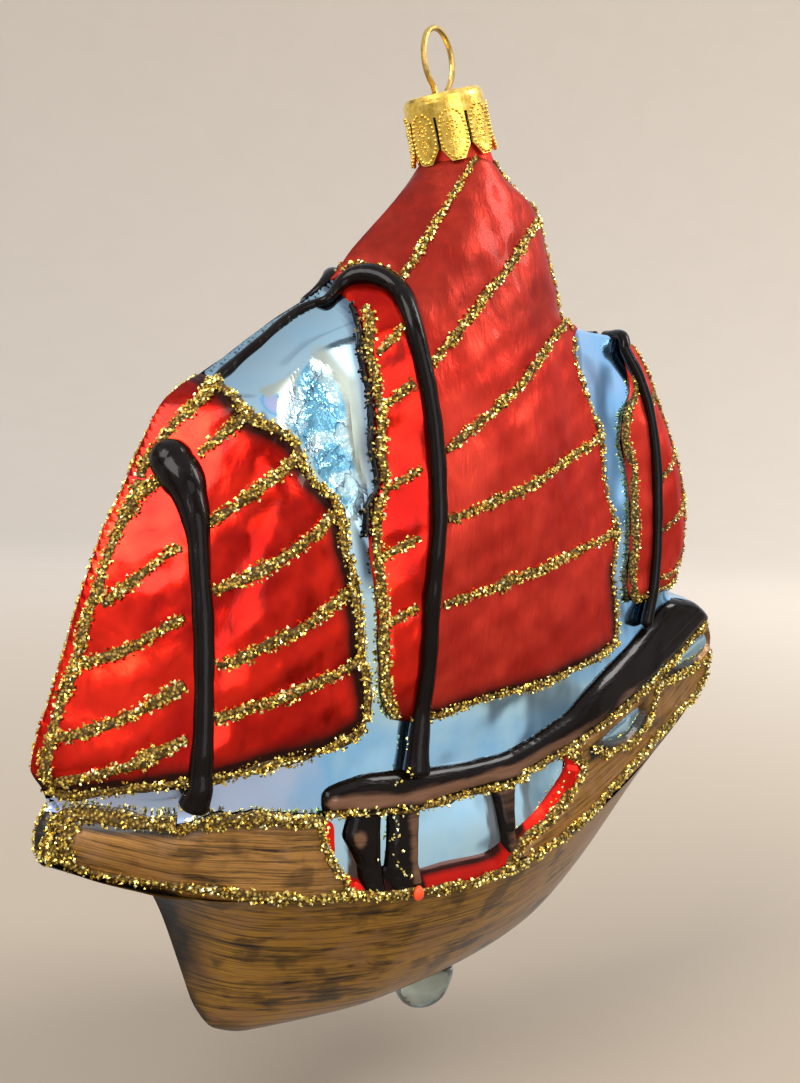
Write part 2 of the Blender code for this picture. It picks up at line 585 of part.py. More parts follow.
# stamped cap: a turned shell, slit into petals with pointed tips
CAP_PROFILE = [(0.0, 0.0), (4.6, 0.0), (5.2, -0.18), (5.58, -0.62), (5.7, -1.2), (5.74, -2.2),
               (5.8, -4.6), (5.9, -7.0), (6.08, -CAP_HEIGHT)]
inner = [(max(r - CAP_WALL, 0.0), z if r > 5.5 else z - CAP_WALL) for r, z in CAP_PROFILE[1:]]
inner[-1] = (CAP_PROFILE[-1][0] - CAP_WALL, -CAP_HEIGHT)
section = CAP_PROFILE[1:] + inner[::-1]
bm = bmesh.new()
verts = [bm.verts.new((0.0, 0.0, 0.0))] + [bm.verts.new((r * MM, 0.0, z * MM)) for r, z in section] \
    + [bm.verts.new((0.0, 0.0, -CAP_WALL * MM))]
for a, b in zip(verts, verts[1:]):
    bm.edges.new((a, b))
mesh = bpy.data.meshes.new("cap")
bm.to_mesh(mesh)
bm.free()
cap = bpy.data.objects.new("cap", mesh)
model.objects.link(cap)
cap.parent = root
cap.location = CAP_TOP * MM
cap.rotation_euler = (0.0, CAP_LEAN, 0.0)
screw = cap.modifiers.new("turn", "SCREW")
screw.steps = 64
screw.render_steps = 64
screw.use_merge_vertices = True
screw.merge_threshold = 0.00001
screw.use_normal_calculate = True
cap.data.materials.append(gold)

slit_outline = [(-0.22, -3.1), (-0.22, -7.4), (-1.9, -9.9), (1.9, -9.9), (0.22, -7.4), (0.22, -3.1)]
bm = bmesh.new()
for k in range(CAP_PETALS):
    turn = Matrix.Rotation(math.tau * (k + 0.70) / CAP_PETALS, 4, "Z")
    near = [bm.verts.new(turn @ Vector((4.6 * MM, y * MM, z * MM))) for y, z in slit_outline]
    far = [bm.verts.new(turn @ Vector((8.0 * MM, y * MM, z * MM))) for y, z in slit_outline]
    bm.faces.new(near)
    bm.faces.new(far[::-1])
    for i in range(6):
        j = (i + 1) % 6
        bm.faces.new((near[j], near[i], far[i], far[j]))
slits = bpy.data.objects.new("cap_slits", from_bmesh("cap_slits", bm))
cutter(slits)
slits.location = cap.location
slits.rotation_euler = cap.rotation_euler
boolean(cap, slits, "DIFFERENCE")

# wire hanger: loop above the cap, two legs sprung into the neck
loop_base = CAP_TOP + Vector((-0.1, 0.0, 0.3))
loop_top = Vector((HOOK[0], 0.0, HOOK[1] + WIRE_RADIUS))
rise = (loop_top - loop_base)
height = rise.length
up = rise.normalized()
side = Vector((math.cos(LOOP_TURN), math.sin(LOOP_TURN), 0.0))
side = (side - up * side.dot(up)).normalized()
leg_side = (side - AXIS * side.dot(AXIS)).normalized()
LEG = 1.75
path = []
for depth, spread in ((12.2, 2.75), (9.0, 2.45), (5.0, 2.05), (1.2, LEG), (-0.1, LEG)):
    path.append(CAP_TOP - AXIS * depth - leg_side * spread)
half = (LOOP_WIDTH / 2) - WIRE_RADIUS
middle = height - half * 1.12
start = math.radians(-52)
for i in range(27):
    a = start + (math.pi - 2 * start) * i / 26
    path.append(loop_base + up * (middle + half * 1.12 * math.sin(a)) - side * half * math.cos(a) * 1.0)
for depth, spread in ((-0.1, LEG), (1.2, LEG), (5.0, 2.05), (9.0, 2.45), (12.2, 2.75)):
    path.append(CAP_TOP - AXIS * depth + leg_side * spread)
wire = bpy.data.objects.new("wire_hanger", tube("wire_hanger", [tuple(p) for p in path], WIRE_RADIUS, 2))
place(wire)
wire.data.materials.append(gold)
for name, sign in (("slot_a", -1), ("slot_b", 1)):
    at = CAP_TOP + leg_side * LEG * sign
    hole = tube(name, [tuple(at + AXIS * 1.5), tuple(at - AXIS * 1.5)], WIRE_RADIUS + 0.28, 3)
    boolean(cap, cutter(bpy.data.objects.new(name, hole)), "DIFFERENCE")
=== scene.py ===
# %% [markdown]
# # A junk in blown glass
# The real thing is a Christmas ornament: a glass bubble blown into a two-part mould, silvered on
# the inside, lacquered red and brown on the outside, and piped by hand with glitter. The CAD part
# gives its solids. This lesson dresses them: each painted region gets a fine skin with the relief
# of the mould, and the lines of glitter are laid on top, grain by grain.

import math

import bpy
import numpy as np
from mathutils import Matrix, Vector


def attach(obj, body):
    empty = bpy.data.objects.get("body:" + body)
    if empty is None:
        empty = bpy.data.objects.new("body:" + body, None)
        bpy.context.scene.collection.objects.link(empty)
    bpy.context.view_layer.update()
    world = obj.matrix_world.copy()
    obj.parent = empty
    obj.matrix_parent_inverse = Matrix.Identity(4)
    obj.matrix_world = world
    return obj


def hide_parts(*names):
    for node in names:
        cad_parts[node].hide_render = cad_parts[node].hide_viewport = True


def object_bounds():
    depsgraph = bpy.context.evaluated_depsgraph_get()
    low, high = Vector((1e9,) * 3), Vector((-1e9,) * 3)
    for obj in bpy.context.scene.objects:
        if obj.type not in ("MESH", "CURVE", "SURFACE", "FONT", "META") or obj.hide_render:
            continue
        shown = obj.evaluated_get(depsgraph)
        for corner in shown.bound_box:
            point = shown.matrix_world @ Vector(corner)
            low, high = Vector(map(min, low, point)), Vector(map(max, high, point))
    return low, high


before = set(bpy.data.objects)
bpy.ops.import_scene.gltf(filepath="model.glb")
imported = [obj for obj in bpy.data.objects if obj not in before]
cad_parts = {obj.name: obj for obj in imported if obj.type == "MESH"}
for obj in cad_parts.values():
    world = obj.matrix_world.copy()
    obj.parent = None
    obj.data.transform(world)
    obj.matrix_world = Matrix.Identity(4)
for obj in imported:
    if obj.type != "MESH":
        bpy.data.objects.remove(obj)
cad_low, cad_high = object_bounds()
MM = 0.001
HOOK = np.array((0.8, 0.0, 134.5))      # the frame's origin, in the drawing's millimetres
scene = bpy.context.scene
print("CAD box, mm:", [round((b - a) / MM, 1) for a, b in zip(cad_low, cad_high)])

# %% [markdown]
# ## The camera
# The photograph was taken from close by, off the port bow and a little above the rail. The camera
# is given by where it stands, how far it turns and dips, and a slight roll. The lens is the one that
# makes the bow loom as large as it does there.

# %% The photograph's camera
turn, dip, roll = (math.radians(a) for a in (51.12, 5.174, 2.226))
look = Vector((-math.cos(turn) * math.cos(dip), -math.sin(turn) * math.cos(dip), -math.sin(dip)))
level = look.cross(Vector((0, 0, 1))).normalized()
upright = level.cross(look)
right = level * math.cos(roll) + upright * math.sin(roll)
up = upright * math.cos(roll) - level * math.sin(roll)
bpy.ops.object.select_all(action="DESELECT")
bpy.ops.object.camera_add()
camera = bpy.context.object
camera.name = "camera_off_the_port_bow"
camera.data.sensor_width = 36.0
camera.data.lens = 1300.0 * 36.0 / 1083.0
camera.data.clip_start, camera.data.clip_end = 0.005, 20.0
camera.matrix_world = Matrix.Translation((0.1182, 0.14342, -0.05437)) \
    @ Matrix((right, up, -look)).transposed().to_4x4()
scene.camera = camera

# %% [markdown]
# ## The mould, as tables
# Everything is drawn in millimetres, with x to the bow, y to port and z up. The seam table gives
# the outline of the ornament seen from the side, level by level. The breadth table gives how far
# it swells. Both are read through a smooth cubic, so that no facet of the plain solids is left.

# %% The seam and the swell
SEAM = np.array([       # level z, foremost x, aftmost x
    (14, 54.6, -59.0), (24, 55.3, -59.6), (26, 56.4, -59.8), (28, 57.2, -60.0),
    (29.5, 57.3, -60.0), (31.2, 56.8, -60.1), (33.2, 55.8, -60.2), (35, 56.3, -60.2),
    (38, 57.9, -60.4), (42, 57.1, -61.1), (46, 55.7, -61.4),
    (50, 54.4, -59.6), (52.5, 53.7, -56.4), (55, 53.0, -53.9), (58, 52.1, -54.0),
    (62, 50.7, -55.4), (66, 49.2, -55.5), (70, 47.2, -55.1), (74, 45.5, -53.9),
    (78, 43.7, -52.0), (81.5, 41.8, -50.2), (84, 39.0, -48.8), (86, 35.4, -47.7),
    (89, 31.4, -46.0), (92, 27.2, -43.7), (94.2, 23.7, -40.8), (94.9, 22.6, -37.4),
    (95.3, 22.0, -30.4), (96.4, 20.3, -25.4), (98.2, 17.8, -24.6), (100.2, 16.0, -24.1),
    (103, 13.9, -22.9), (106, 11.1, -21.7), (109, 8.2, -20.6), (111.6, 5.8, -18.9),
    (114, 3.5, -14.4), (116, 1.9, -11.2), (117.6, 0.6, -9.3)])
STATION_X = np.array((58, 43, 32, 22, 11, -5, -22, -31, -40, -56), float)
LEVEL_Z = np.array((14, 24, 33, 42, 50, 58, 66, 74, 82, 90, 97, 104, 110, 115, 117.6))
BREADTH = np.array([    # half-breadth at those stations, one row for each level
    (12.5, 15.0, 16.6, 17.6, 18.8, 19.3, 17.4, 15.6, 13.6, 9.5),
    (12.5, 14.6, 16.2, 17.4, 18.4, 19.0, 17.2, 15.6, 13.6, 9.5),
    (12.0, 14.0, 15.4, 16.5, 16.9, 17.3, 16.7, 15.5, 13.4, 9.5),
    (12.5, 14.6, 15.5, 15.5, 16.2, 16.9, 16.0, 14.6, 12.8, 9.5),
    (13.0, 14.6, 15.4, 15.2, 16.8, 17.4, 15.2, 13.4, 12.2, 10.0),
    (13.0, 14.4, 15.0, 14.8, 17.1, 17.6, 14.6, 12.9, 12.8, 11.5),
    (13.0, 14.0, 14.3, 13.6, 17.2, 17.6, 13.8, 12.2, 12.6, 11.5),
    (12.0, 12.5, 12.6, 11.8, 16.2, 17.0, 12.6, 11.0, 11.8, 10.5),
    (10.0, 10.0, 10.0, 9.6, 14.8, 15.8, 11.4, 9.6, 10.2, 9.0),
    (7.0, 7.0, 7.4, 8.0, 13.0, 14.2, 10.2, 8.0, 8.0, 6.5),
    (5.0, 5.0, 5.4, 6.6, 10.8, 12.6, 9.0, 6.2, 5.6, 4.5),
    (4.0, 4.0, 4.4, 5.6, 8.6, 10.8, 8.0, 5.0, 4.0, 3.5),
    (4.0, 4.0, 4.0, 5.0, 7.0, 8.8, 6.4, 4.0, 3.5, 3.0),
    (4.0, 4.0, 4.0, 5.0, 6.0, 6.8, 5.6, 4.0, 3.0, 3.0),
    (4.0, 4.0, 4.0, 5.0, 5.6, 6.0, 5.4, 4.0, 3.0, 3.0)])


def read(keys, values, at):
    """A table read through a smooth cubic that never overshoots its rows."""
    keys, values = np.asarray(keys, float), np.asarray(values, float)
    if values.ndim == 1:
        return read(keys, values[:, None], at)[..., 0]
    step = np.diff(keys)[:, None]
    rise = np.diff(values, axis=0) / step
    slope = np.zeros_like(values)
    same = rise[:-1] * rise[1:] > 0
    slope[1:-1] = np.where(same, 2 * rise[:-1] * rise[1:] / np.where(same, rise[:-1] + rise[1:], 1), 0)
    slope[0], slope[-1] = rise[0], rise[-1]
    at = np.clip(np.asarray(at, float), keys[0], keys[-1])
    k = np.clip(np.searchsorted(keys, at, side="right") - 1, 0, len(keys) - 2)
    h = step[k]
    t = ((at - keys[k])[..., None]) / h
    return (values[k] * (1 + 2 * t) * (1 - t) ** 2 + slope[k] * h * t * (1 - t) ** 2
            + values[k + 1] * t * t * (3 - 2 * t) + slope[k + 1] * h * t * t * (t - 1))


def seam(z):
    """Foremost and aftmost x at a level."""
    both = read(SEAM[:, 0], SEAM[:, 1:], z)
    return both[..., 0], both[..., 1]


def swell(x, z, grow=0.0):
    """Port surface of the glass: y where a side view shows (x, z), grown or shrunk by a relief."""
    x, z, grow = np.broadcast_arrays(*(np.asarray(v, float) for v in (x, z, grow)))
    fore, aft = seam(z)
    fore, aft = fore + grow, aft - grow
    rows = read(LEVEL_Z, BREADTH, z)
    back = STATION_X[::-1]
    at = np.clip(x, back[0], back[-1])
    k = np.clip(np.searchsorted(back, at, side="right") - 1, 0, len(back) - 2)
    t = (at - back[k]) / (back[k + 1] - back[k])
    rows = rows[..., ::-1]
    a, b, c, d = (np.take_along_axis(rows, np.clip(k + i, 0, len(back) - 1)[..., None], -1)[..., 0]
                  for i in (-1, 0, 1, 2))
    y = 0.5 * (2 * b + (c - a) * t + (2 * a - 5 * b + 4 * c - d) * t ** 2
               + (3 * b - a - 3 * c + d) * t ** 3) + grow
    width = np.minimum(1.15 * y, 0.5 * (fore - aft))
    stern = width * np.where(z < 54, 0.55, 1.0)
    q = np.clip((z - 107) / 9, 0, 1)
    power = 1 - 0.4 * q * q * (3 - 2 * q)
    for share in ((fore - x) / width, (x - aft) / stern):
        y = y * np.sin(math.pi / 2 * np.clip(share, 0, 1)) ** power
    return y


print("half-breadth amidships, mm:", round(float(swell(0, 60)), 1))

# %% [markdown]
# ## The borders of the painted regions
# The painter followed the mould's own lines. Each border is a short list of points as seen from
# the side, walked in one direction, so that "beside" can lay a line of glitter along it.

# %% Borders, as x and z seen from the side
HULL = np.array([       # x, keel z, gunwale z, half-breadth at the gunwale, power of the section
    (56.4, 26.0, 26.3, 0.8, 0.9), (54.6, 25.2, 25.9, 4.0, 0.9), (52.4, 24.3, 25.3, 7.2, 1.0),
    (49.4, 23.1, 24.6, 10.2, 1.2), (45.6, 21.8, 23.6, 12.6, 1.6), (43.2, 21.2, 23.4, 13.8, 1.62),
    (41.6, 19.4, 23.1, 14.3, 1.54), (40.4, 17.0, 22.9, 14.7, 1.48), (39.0, 13.4, 22.7, 15.0, 1.39),
    (37.0, 7.8, 22.4, 15.4, 1.26), (35.0, 2.6, 22.0, 15.7, 1.12), (32.0, -1.2, 21.5, 16.2, 0.96),
    (27.0, -2.8, 20.9, 16.9, 0.79), (20.0, -3.0, 20.2, 17.7, 0.63), (10.0, -2.6, 19.7, 18.8, 0.50),
    (0.0, -1.7, 19.9, 19.3, 0.51), (-10.0, -0.7, 21.2, 18.9, 0.57), (-20.0, 1.4, 23.8, 17.5, 0.62),
    (-30.0, 5.6, 27.5, 15.7, 0.78), (-40.0, 13.6, 31.4, 13.2, 1.0), (-50.0, 24.8, 35.8, 10.4, 1.12),
    (-57.0, 34.0, 39.6, 7.6, 1.1), (-59.2, 37.8, 41.0, 4.7, 1.08), (-60.3, 39.9, 41.65, 2.2, 1.05),
    (-61.0, 41.4, 42.0, 0.2, 1.0)])
GUNWALE = [(60, 26.9), (57, 26.2), (54, 25.6), (50.2, 24.8)] \
    + [(x, z) for x, keel, z, beam, power in HULL[4:]] + [(-64, 43.6)]
CASTLE_TOP = [(60, 33.0), (56, 32.5), (50.4, 32.2), (45.8, 32.2), (41.0, 33.0), (33.4, 32.3),
              (26.6, 31.3)]
CASTLE_AFT = [(26.6, 31.3), (26.8, 29.2), (25.4, 26.0), (23.6, 23.0), (22.6, 20.5)]
RAIL_LOW = [(26.6, 31.3), (22.3, 31.2), (16.4, 30.6), (10.3, 30.6), (1.6, 31.3), (-5.4, 32.0),
            (-9.8, 33.3), (-16.0, 34.8), (-21.6, 36.7), (-29.4, 39.3), (-38.6, 42.2),
            (-46.0, 45.2), (-50.0, 47.2), (-54.0, 49.2), (-64.0, 50.0)]
RAIL_TOP = [(26.6, 34.4), (25.0, 35.0), (19.7, 35.9), (10.2, 35.4), (3.0, 35.4), (-3.4, 35.8),
            (-9.9, 37.6), (-16.2, 39.9), (-20.0, 42.4), (-24.2, 44.5), (-32.2, 48.0), (-38.2, 51.4),
            (-40.8, 53.6), (-44.0, 54.3), (-50.0, 53.4), (-59.0, 52.4), (-64.0, 52.2)]
WAIST_AFT = [(-15.4, 34.7), (-18.2, 33.6), (-19.4, 31.9), (-18.0, 29.2), (-14.4, 26.7),
             (-10.0, 24.4), (-5.2, 22.4), (-2.5, 20.1)]
FLOOR_TOP = [(24.9, 25.0), (21.5, 22.6), (17.0, 22.2), (8.0, 22.6), (0.0, 22.8), (-4.6, 24.8),
             (-10.3, 27.4), (-14.2, 29.9), (-16.2, 32.0), (-15.6, 33.5)]
FORE_FOOT = [(60, 34.8), (57, 34.2), (54.5, 33.9), (50.2, 35.5), (45.2, 36.6), (41.6, 36.9),
             (35.4, 37.9), (30.2, 38.4), (24.5, 39.2), (20.6, 40.9), (19.6, 42.4)]
FORE_LEECH = [(19.6, 42.4), (19.3, 45.2), (20.5, 51.4), (21.1, 57.0), (21.3, 60.6), (22.7, 65.3),
              (22.6, 68.9), (23.4, 70.7), (27.1, 73.6), (28.4, 75.8), (29.0, 78.0), (31.4, 79.5),
              (34.0, 80.6), (34.6, 82.9), (35.8, 85.6), (37.6, 90.0)]
MAIN_LUFF = [(16.3, 42.2), (17.7, 45.9), (18.4, 54.8), (19.3, 62.9), (19.4, 65.8), (19.3, 69.3),
             (17.7, 72.2), (18.0, 76.6), (17.6, 80.1), (17.7, 83.8), (18.2, 89.4), (17.7, 92.8),
             (17.0, 95.4), (17.2, 98.2)]
MAIN_FOOT = [(16.3, 42.2), (13.5, 41.4), (9.9, 41.4), (3.0, 42.7), (-3.3, 43.5), (-9.8, 44.0),
             (-18.9, 45.9), (-24.0, 46.9), (-28.2, 48.2)]
MAIN_LEECH = [(-28.2, 48.2), (-28.4, 51.6), (-27.4, 59.2), (-29.0, 65.8), (-27.2, 69.2),
              (-26.2, 73.0), (-25.9, 80.5), (-23.9, 83.2), (-21.6, 86.8), (-19.8, 90.8),
              (-20.0, 93.4), (-22.0, 95.6), (-25.0, 96.6), (-30.0, 97.2)]
MIZZEN_LUFF = [(-34.6, 99.0), (-33.9, 95.5), (-33.6, 92.8), (-34.4, 90.6), (-34.7, 86.8),
               (-32.6, 82.8), (-31.6, 79.0), (-32.5, 75.1), (-32.7, 69.3), (-32.4, 63.6),
               (-31.7, 57.7), (-32.6, 54.2)]
MIZZEN_FOOT = [(-32.6, 54.2), (-37.2, 54.9), (-41.0, 55.8), (-46.0, 56.8), (-53.0, 57.4),
               (-64.0, 58.0)]
MAST_LINE = [(12.4, 39.5), (11.8, 43.0), (11.5, 49.2), (11.6, 56.0), (11.3, 62.6), (10.8, 70.6),
             (10.9, 78.2), (11.1, 84.6), (11.8, 90.3), (12.2, 94.5), (12.0, 97.3), (12.5, 98.9),
             (13.6, 99.6), (14.8, 99.5), (16.2, 98.9), (18.0, 97.7), (20.0, 96.4), (21.8, 95.1)]
POSTS = [                       # level, aft edge and fore edge of each post, from the rail down
    [(31.4, 17.4, 22.4), (28.2, 17.9, 23.5), (24.6, 18.0, 21.4), (20.2, 17.2, 20.8)],
    [(31.4, 11.2, 16.3), (27.0, 12.0, 16.8), (23.3, 12.2, 17.2), (20.2, 11.4, 16.8)],
    [(32.4, -5.8, -1.0), (28.0, -4.9, -1.6), (24.6, -4.6, -1.9), (20.8, -7.2, -2.6)]]
WINDOWS = [[(-22.4, 34.6), (-25.5, 36.2), (-30.4, 37.9), (-34.2, 38.8), (-35.0, 37.4),
            (-32.6, 35.3), (-30.0, 34.1), (-25.5, 33.9)],
           [(-43.6, 43.3), (-47.3, 44.9), (-51.6, 46.9), (-55.4, 48.0), (-57.0, 45.6),
            (-53.6, 43.4), (-48.0, 42.8)]]


def at_x(line, x):
    """z of a border where it passes x."""
    line = np.array(sorted(line), float)
    return np.interp(x, line[:, 0], line[:, 1])


def part_of(line, high, low):
    """The part of a border between two x, the one nearer the bow first."""
    inner = [p for p in line if low + 0.4 < p[0] < high - 0.4]
    return [(high, float(at_x(line, high)))] + inner + [(low, float(at_x(line, low)))]


def beside(line, distance):
    """A border moved to the right of the way it is walked, or to the left below zero."""
    line = np.asarray(line, float)
    way = np.gradient(line, axis=0)
    way /= np.linalg.norm(way, axis=1)[:, None]
    return line + np.stack([way[:, 1], -way[:, 0]], 1) * distance


def even(line, step, soft=True):
    """A line walked in equal steps, rounded through its points."""
    line = np.asarray(line, float)
    far = np.concatenate([[0], np.cumsum(np.linalg.norm(np.diff(line, axis=0), axis=1))])
    at = np.linspace(0, far[-1], max(3, int(round(far[-1] / step)) + 1))
    if not soft:
        return np.stack([np.interp(at, far, line[:, i]) for i in range(line.shape[1])], 1)
    way = np.gradient(line, far, axis=0)
    k = np.clip(np.searchsorted(far, at, side="right") - 1, 0, len(far) - 2)
    h = (far[k + 1] - far[k])[:, None]
    t = (at - far[k])[:, None] / h
    return (line[k] * (1 + 2 * t) * (1 - t) ** 2 + way[k] * h * t * (1 - t) ** 2
            + line[k + 1] * t * t * (3 - 2 * t) + way[k + 1] * h * t * t * (t - 1))


print("gunwale length, mm:", round(float(np.sum(np.linalg.norm(np.diff(
    np.array(GUNWALE), axis=0), axis=1))), 1))

# %% [markdown]
# ## Two helpers for shaders
# A finish is mostly arithmetic: this streak times that mask, one minus the shade. A wire is a
# socket that can be added and multiplied like a number, so the sum reads as a sum. Any other node
# comes from one method, which takes its kind, its settings and what feeds its sockets.

# %% Shader wires and finishes


class Wire:
    """A socket that takes part in sums."""

    def __init__(self, finish, socket):
        self.finish, self.socket = finish, socket

    def __add__(self, other):
        return self.finish.maths("ADD", self, other)

    __radd__ = __add__

    def __sub__(self, other):
        return self.finish.maths("SUBTRACT", self, other)

    def __rsub__(self, other):
        return self.finish.maths("SUBTRACT", other, self)

    def __mul__(self, other):
        return self.finish.maths("MULTIPLY", self, other)

    __rmul__ = __mul__

    def __truediv__(self, other):
        return self.finish.maths("DIVIDE", self, other)

    def __pow__(self, other):
        return self.finish.maths("POWER", self, other)

    def clamp(self):
        return self.finish.node("ShaderNodeClamp", {}, {0: self})

    def between(self, low, high):
        """0 below low, 1 above high, smooth in between."""
        return self.finish.node("ShaderNodeMapRange", {"interpolation_type": "SMOOTHSTEP"},
                                {0: self, 1: low, 2: high, 3: 0.0, 4: 1.0})


class Finish:
    """A material and the nodes that it is made of."""

    def __init__(self, name, **constants):
        self.material = bpy.data.materials.new(name)
        self.material.use_nodes = True
        self.tree = self.material.node_tree
        self.shader = self.tree.nodes["Principled BSDF"]
        for socket, value in constants.items():
            self.put(socket.replace("_", " "), value)

    def node(self, kind, settings, sockets, out=0):
        made = self.tree.nodes.new(kind)
        for name, value in settings.items():
            if name == "stops":
                ramp = made.color_ramp
                while len(ramp.elements) < len(value):
                    ramp.elements.new(0.5)
                for element, (place, colour) in zip(ramp.elements, value):
                    element.position, element.color = place, (*colour, 1.0)
            else:
                setattr(made, name, value)
        for key, value in sockets.items():
            self.feed(made.inputs[key], value)
        return Wire(self, made.outputs[out])

    def feed(self, socket, value):
        if isinstance(value, Wire):
            self.tree.links.new(value.socket, socket)
        elif isinstance(value, tuple) and len(value) == 3 and socket.type == "RGBA":
            socket.default_value = (*value, 1.0)
        else:
            socket.default_value = value

    def put(self, socket, value):
        self.feed(self.shader.inputs[socket], value)
        return self

    def maths(self, operation, *values):
        return self.node("ShaderNodeMath", {"operation": operation}, dict(enumerate(values)))

    def mix(self, share, first, second):
        return self.node("ShaderNodeMix", {"data_type": "RGBA"}, {0: share, 6: first, 7: second}, 2)

    def ramp(self, value, *stops):
        return self.node("ShaderNodeValToRGB", {"stops": stops}, {0: value})

    def value_of(self, name):
        """A number stored on the piece, such as how deep its shade is."""
        return self.node("ShaderNodeAttribute", {"attribute_name": name}, {}, 2)

    def place(self, stretch=(1, 1, 1), turned=(0, 0, 0)):
        """Object coordinates in millimetres, stretched and turned."""
        here = self.node("ShaderNodeTexCoord", {}, {}, 3)
        return self.node("ShaderNodeMapping", {}, {
            0: here, 2: tuple(math.radians(a) for a in turned),
            3: tuple(1000.0 * s for s in stretch)})

    def joined(self, x, y, z):
        return self.node("ShaderNodeCombineXYZ", {}, {0: x, 1: y, 2: z})

    def noise(self, where, size=1.0, detail=2.0, rough=0.5, twist=0.0):
        """Noise whose lumps are about size across, from 0 to 1."""
        return self.node("ShaderNodeTexNoise", {}, {
            "Vector": where, "Scale": 1.0 / size, "Detail": detail, "Roughness": rough,
            "Distortion": twist})

    def cells(self, where, size=1.0, feature="F1", out=0):
        return self.node("ShaderNodeTexVoronoi", {"feature": feature}, {
            "Vector": where, "Scale": 1.0 / size}, out)

    def bump(self, height, depth, strength=1.0, normal=None):
        """Bumps of a depth in millimetres."""
        sockets = {"Height": height, "Distance": depth * MM, "Strength": strength}
        if normal is not None:
            sockets["Normal"] = normal
        return self.node("ShaderNodeBump", {}, sockets)


# %% [markdown]
# ## Silvered glass
# Silver nitrate poured inside gives a mirror as uneven as the glass itself, here a cold blue with
# paler and lavender patches, laid out by region partly as painted reflection of the room. A perfect
# mirror would look like chrome, so slow waves bend the reflection, and between the fore and the
# main sail the mould is crumpled like foil. The foil's bright patches and dark creases, a dark band
# along the ridge of the seam and beside the luff, and a warm glow beside the foil are painted
# reflections.

# %% Silver
silver = Finish("silvered_glass", Coat_Weight=0.25, Coat_Roughness=0.03)
where = silver.place()
drift = silver.noise(where, 16.0, 2.0)
fine = silver.noise(where, 3.5, 3.0)
# The silver's tone by region is partly its own tint and partly painted reflection of the room.
hue = silver.value_of("hue")
tone = silver.ramp(hue + 0.5 * drift + 0.25 * fine - 0.375,
                   (0.0, (0.66, 0.84, 0.84)), (0.28, (0.55, 0.84, 1.0)), (0.5, (0.30, 0.64, 1.0)),
                   (0.72, (0.60, 0.74, 1.0)), (1.0, (0.74, 0.74, 1.0)))
veil = silver.value_of("veil")
# Painted reflection: a warm, dull glow of the room beside the foil.
cream = silver.value_of("cream")
tone = silver.mix(cream.between(0.1, 0.6) * 0.95, tone, (0.42, 0.46, 0.38))
crumple = silver.value_of("crumple")
twist = silver.node("ShaderNodeTexNoise", {}, {"Vector": silver.place((0.5, 0.5, 0.5)), "Scale": 1.0,
                                               "Detail": 3.0}, 1)
bent = silver.node("ShaderNodeVectorMath", {"operation": "MULTIPLY_ADD"},
                   {0: twist, 1: (3.4, 3.4, 3.4), 2: silver.place((1.0, 1.0, 0.75))})
facet = silver.cells(bent, 4.2)
painted_dark_creases = 1 - silver.cells(bent, 4.2, "DISTANCE_TO_EDGE").between(0.0, 0.035)
# Painted reflection on the crumpled foil: bright patches and dark creases in its colour.
painted_glint = silver.noise(where, 3.4, 1.0).between(0.42, 0.58)
foil = silver.mix(painted_glint, (0.15, 0.42, 0.60), (0.46, 0.68, 0.75))
foil = silver.mix(painted_dark_creases * 0.85, foil, (0.015, 0.04, 0.09))
tone = silver.mix(crumple.between(0.35, 0.65), tone, foil)
# Painted reflection: dark blue along the ridge of the seam and beside the luff.
tone = silver.mix(silver.value_of("dusk"), tone, (0.010, 0.022, 0.060))
silver.put("Base Color", silver.mix(veil, tone, (0.060, 0.034, 0.022)))
silver.put("Metallic", 1.0 - 0.55 * veil - 0.55 * crumple.between(0.35, 0.65)
           - 0.35 * cream.between(0.1, 0.6))
silver.put("Roughness", 0.05 + 0.09 * fine + 0.30 * cream.between(0.1, 0.6))
waves = silver.bump(silver.noise(where, 6.0, 0.5), 0.35)
silver.put("Normal", silver.bump(facet * crumple, 0.9, 1.0, waves))

# %% [markdown]
# ## Red lacquer
# The sails are transparent red lacquer over the silver, so they behave like coloured metal under
# varnish. The foresail is glossy. The main and mizzen sails are satin, with fine upright wrinkles
# from the mould. Brown was airbrushed along the leech and the foot: the piece itself carries that
# shade as a number. The same number also carries painted shade, on the foresail's far edge and
# towards the mainsail's peak.

# %% Glossy and satin red


def red(name, bright, deep, rough, coat, grain, grain_depth, metal):
    made = Finish(name, Coat_Weight=coat, Coat_Roughness=0.06, Specular_IOR_Level=0.2,
                  Specular_Tint=(0.95, 0.18, 0.10, 1.0))
    where = made.place()
    patch = made.noise(where, 9.0, 3.0, 0.55)
    colour = made.mix(patch.between(0.35, 0.68), deep, bright)
    shade = made.value_of("shade")
    # Airbrushed brown, and on the fore and main sail also painted shade, darkens the colour here.
    airbrush_and_painted_shade = (shade * 1.25 - 0.35 * made.noise(where, 2.0, 3.0)).clamp()
    made.put("Base Color", made.mix(airbrush_and_painted_shade, colour, (0.016, 0.004, 0.002)))
    made.put("Metallic", metal - 0.5 * metal * airbrush_and_painted_shade)
    made.put("Roughness", rough + 0.10 * made.noise(where, 0.9, 3.0) + 0.12 * airbrush_and_painted_shade)
    slow = made.bump(made.noise(made.place((1.0, 1.0, 0.6)), 5.0, 1.5), 0.55)
    made.put("Normal", made.bump(made.noise(made.place(grain), 1.0, 3.0, 0.6, 0.4),
                                 grain_depth, 0.8, slow))
    return made.material


red_gloss = red("red_lacquer_gloss", (0.80, 0.022, 0.008), (0.40, 0.006, 0.003), 0.17, 0.10,
                (0.30, 0.30, 0.22), 0.10, 0.88)
red_satin = red("red_lacquer_satin", (0.66, 0.046, 0.026), (0.44, 0.022, 0.013), 0.32, 0.06,
                (0.85, 0.85, 0.16), 0.18, 0.62)

# %% [markdown]
# ## Wood paint, enamel, gold
# The hull is painted ochre with dark strokes dragged along the strakes, and blackened at the stem
# and under the forefoot. Masts and rail are thick dark enamel that let lighter brown through on
# their crests. Cap and loop are stamped, gold-coloured metal.

# %% Painted wood


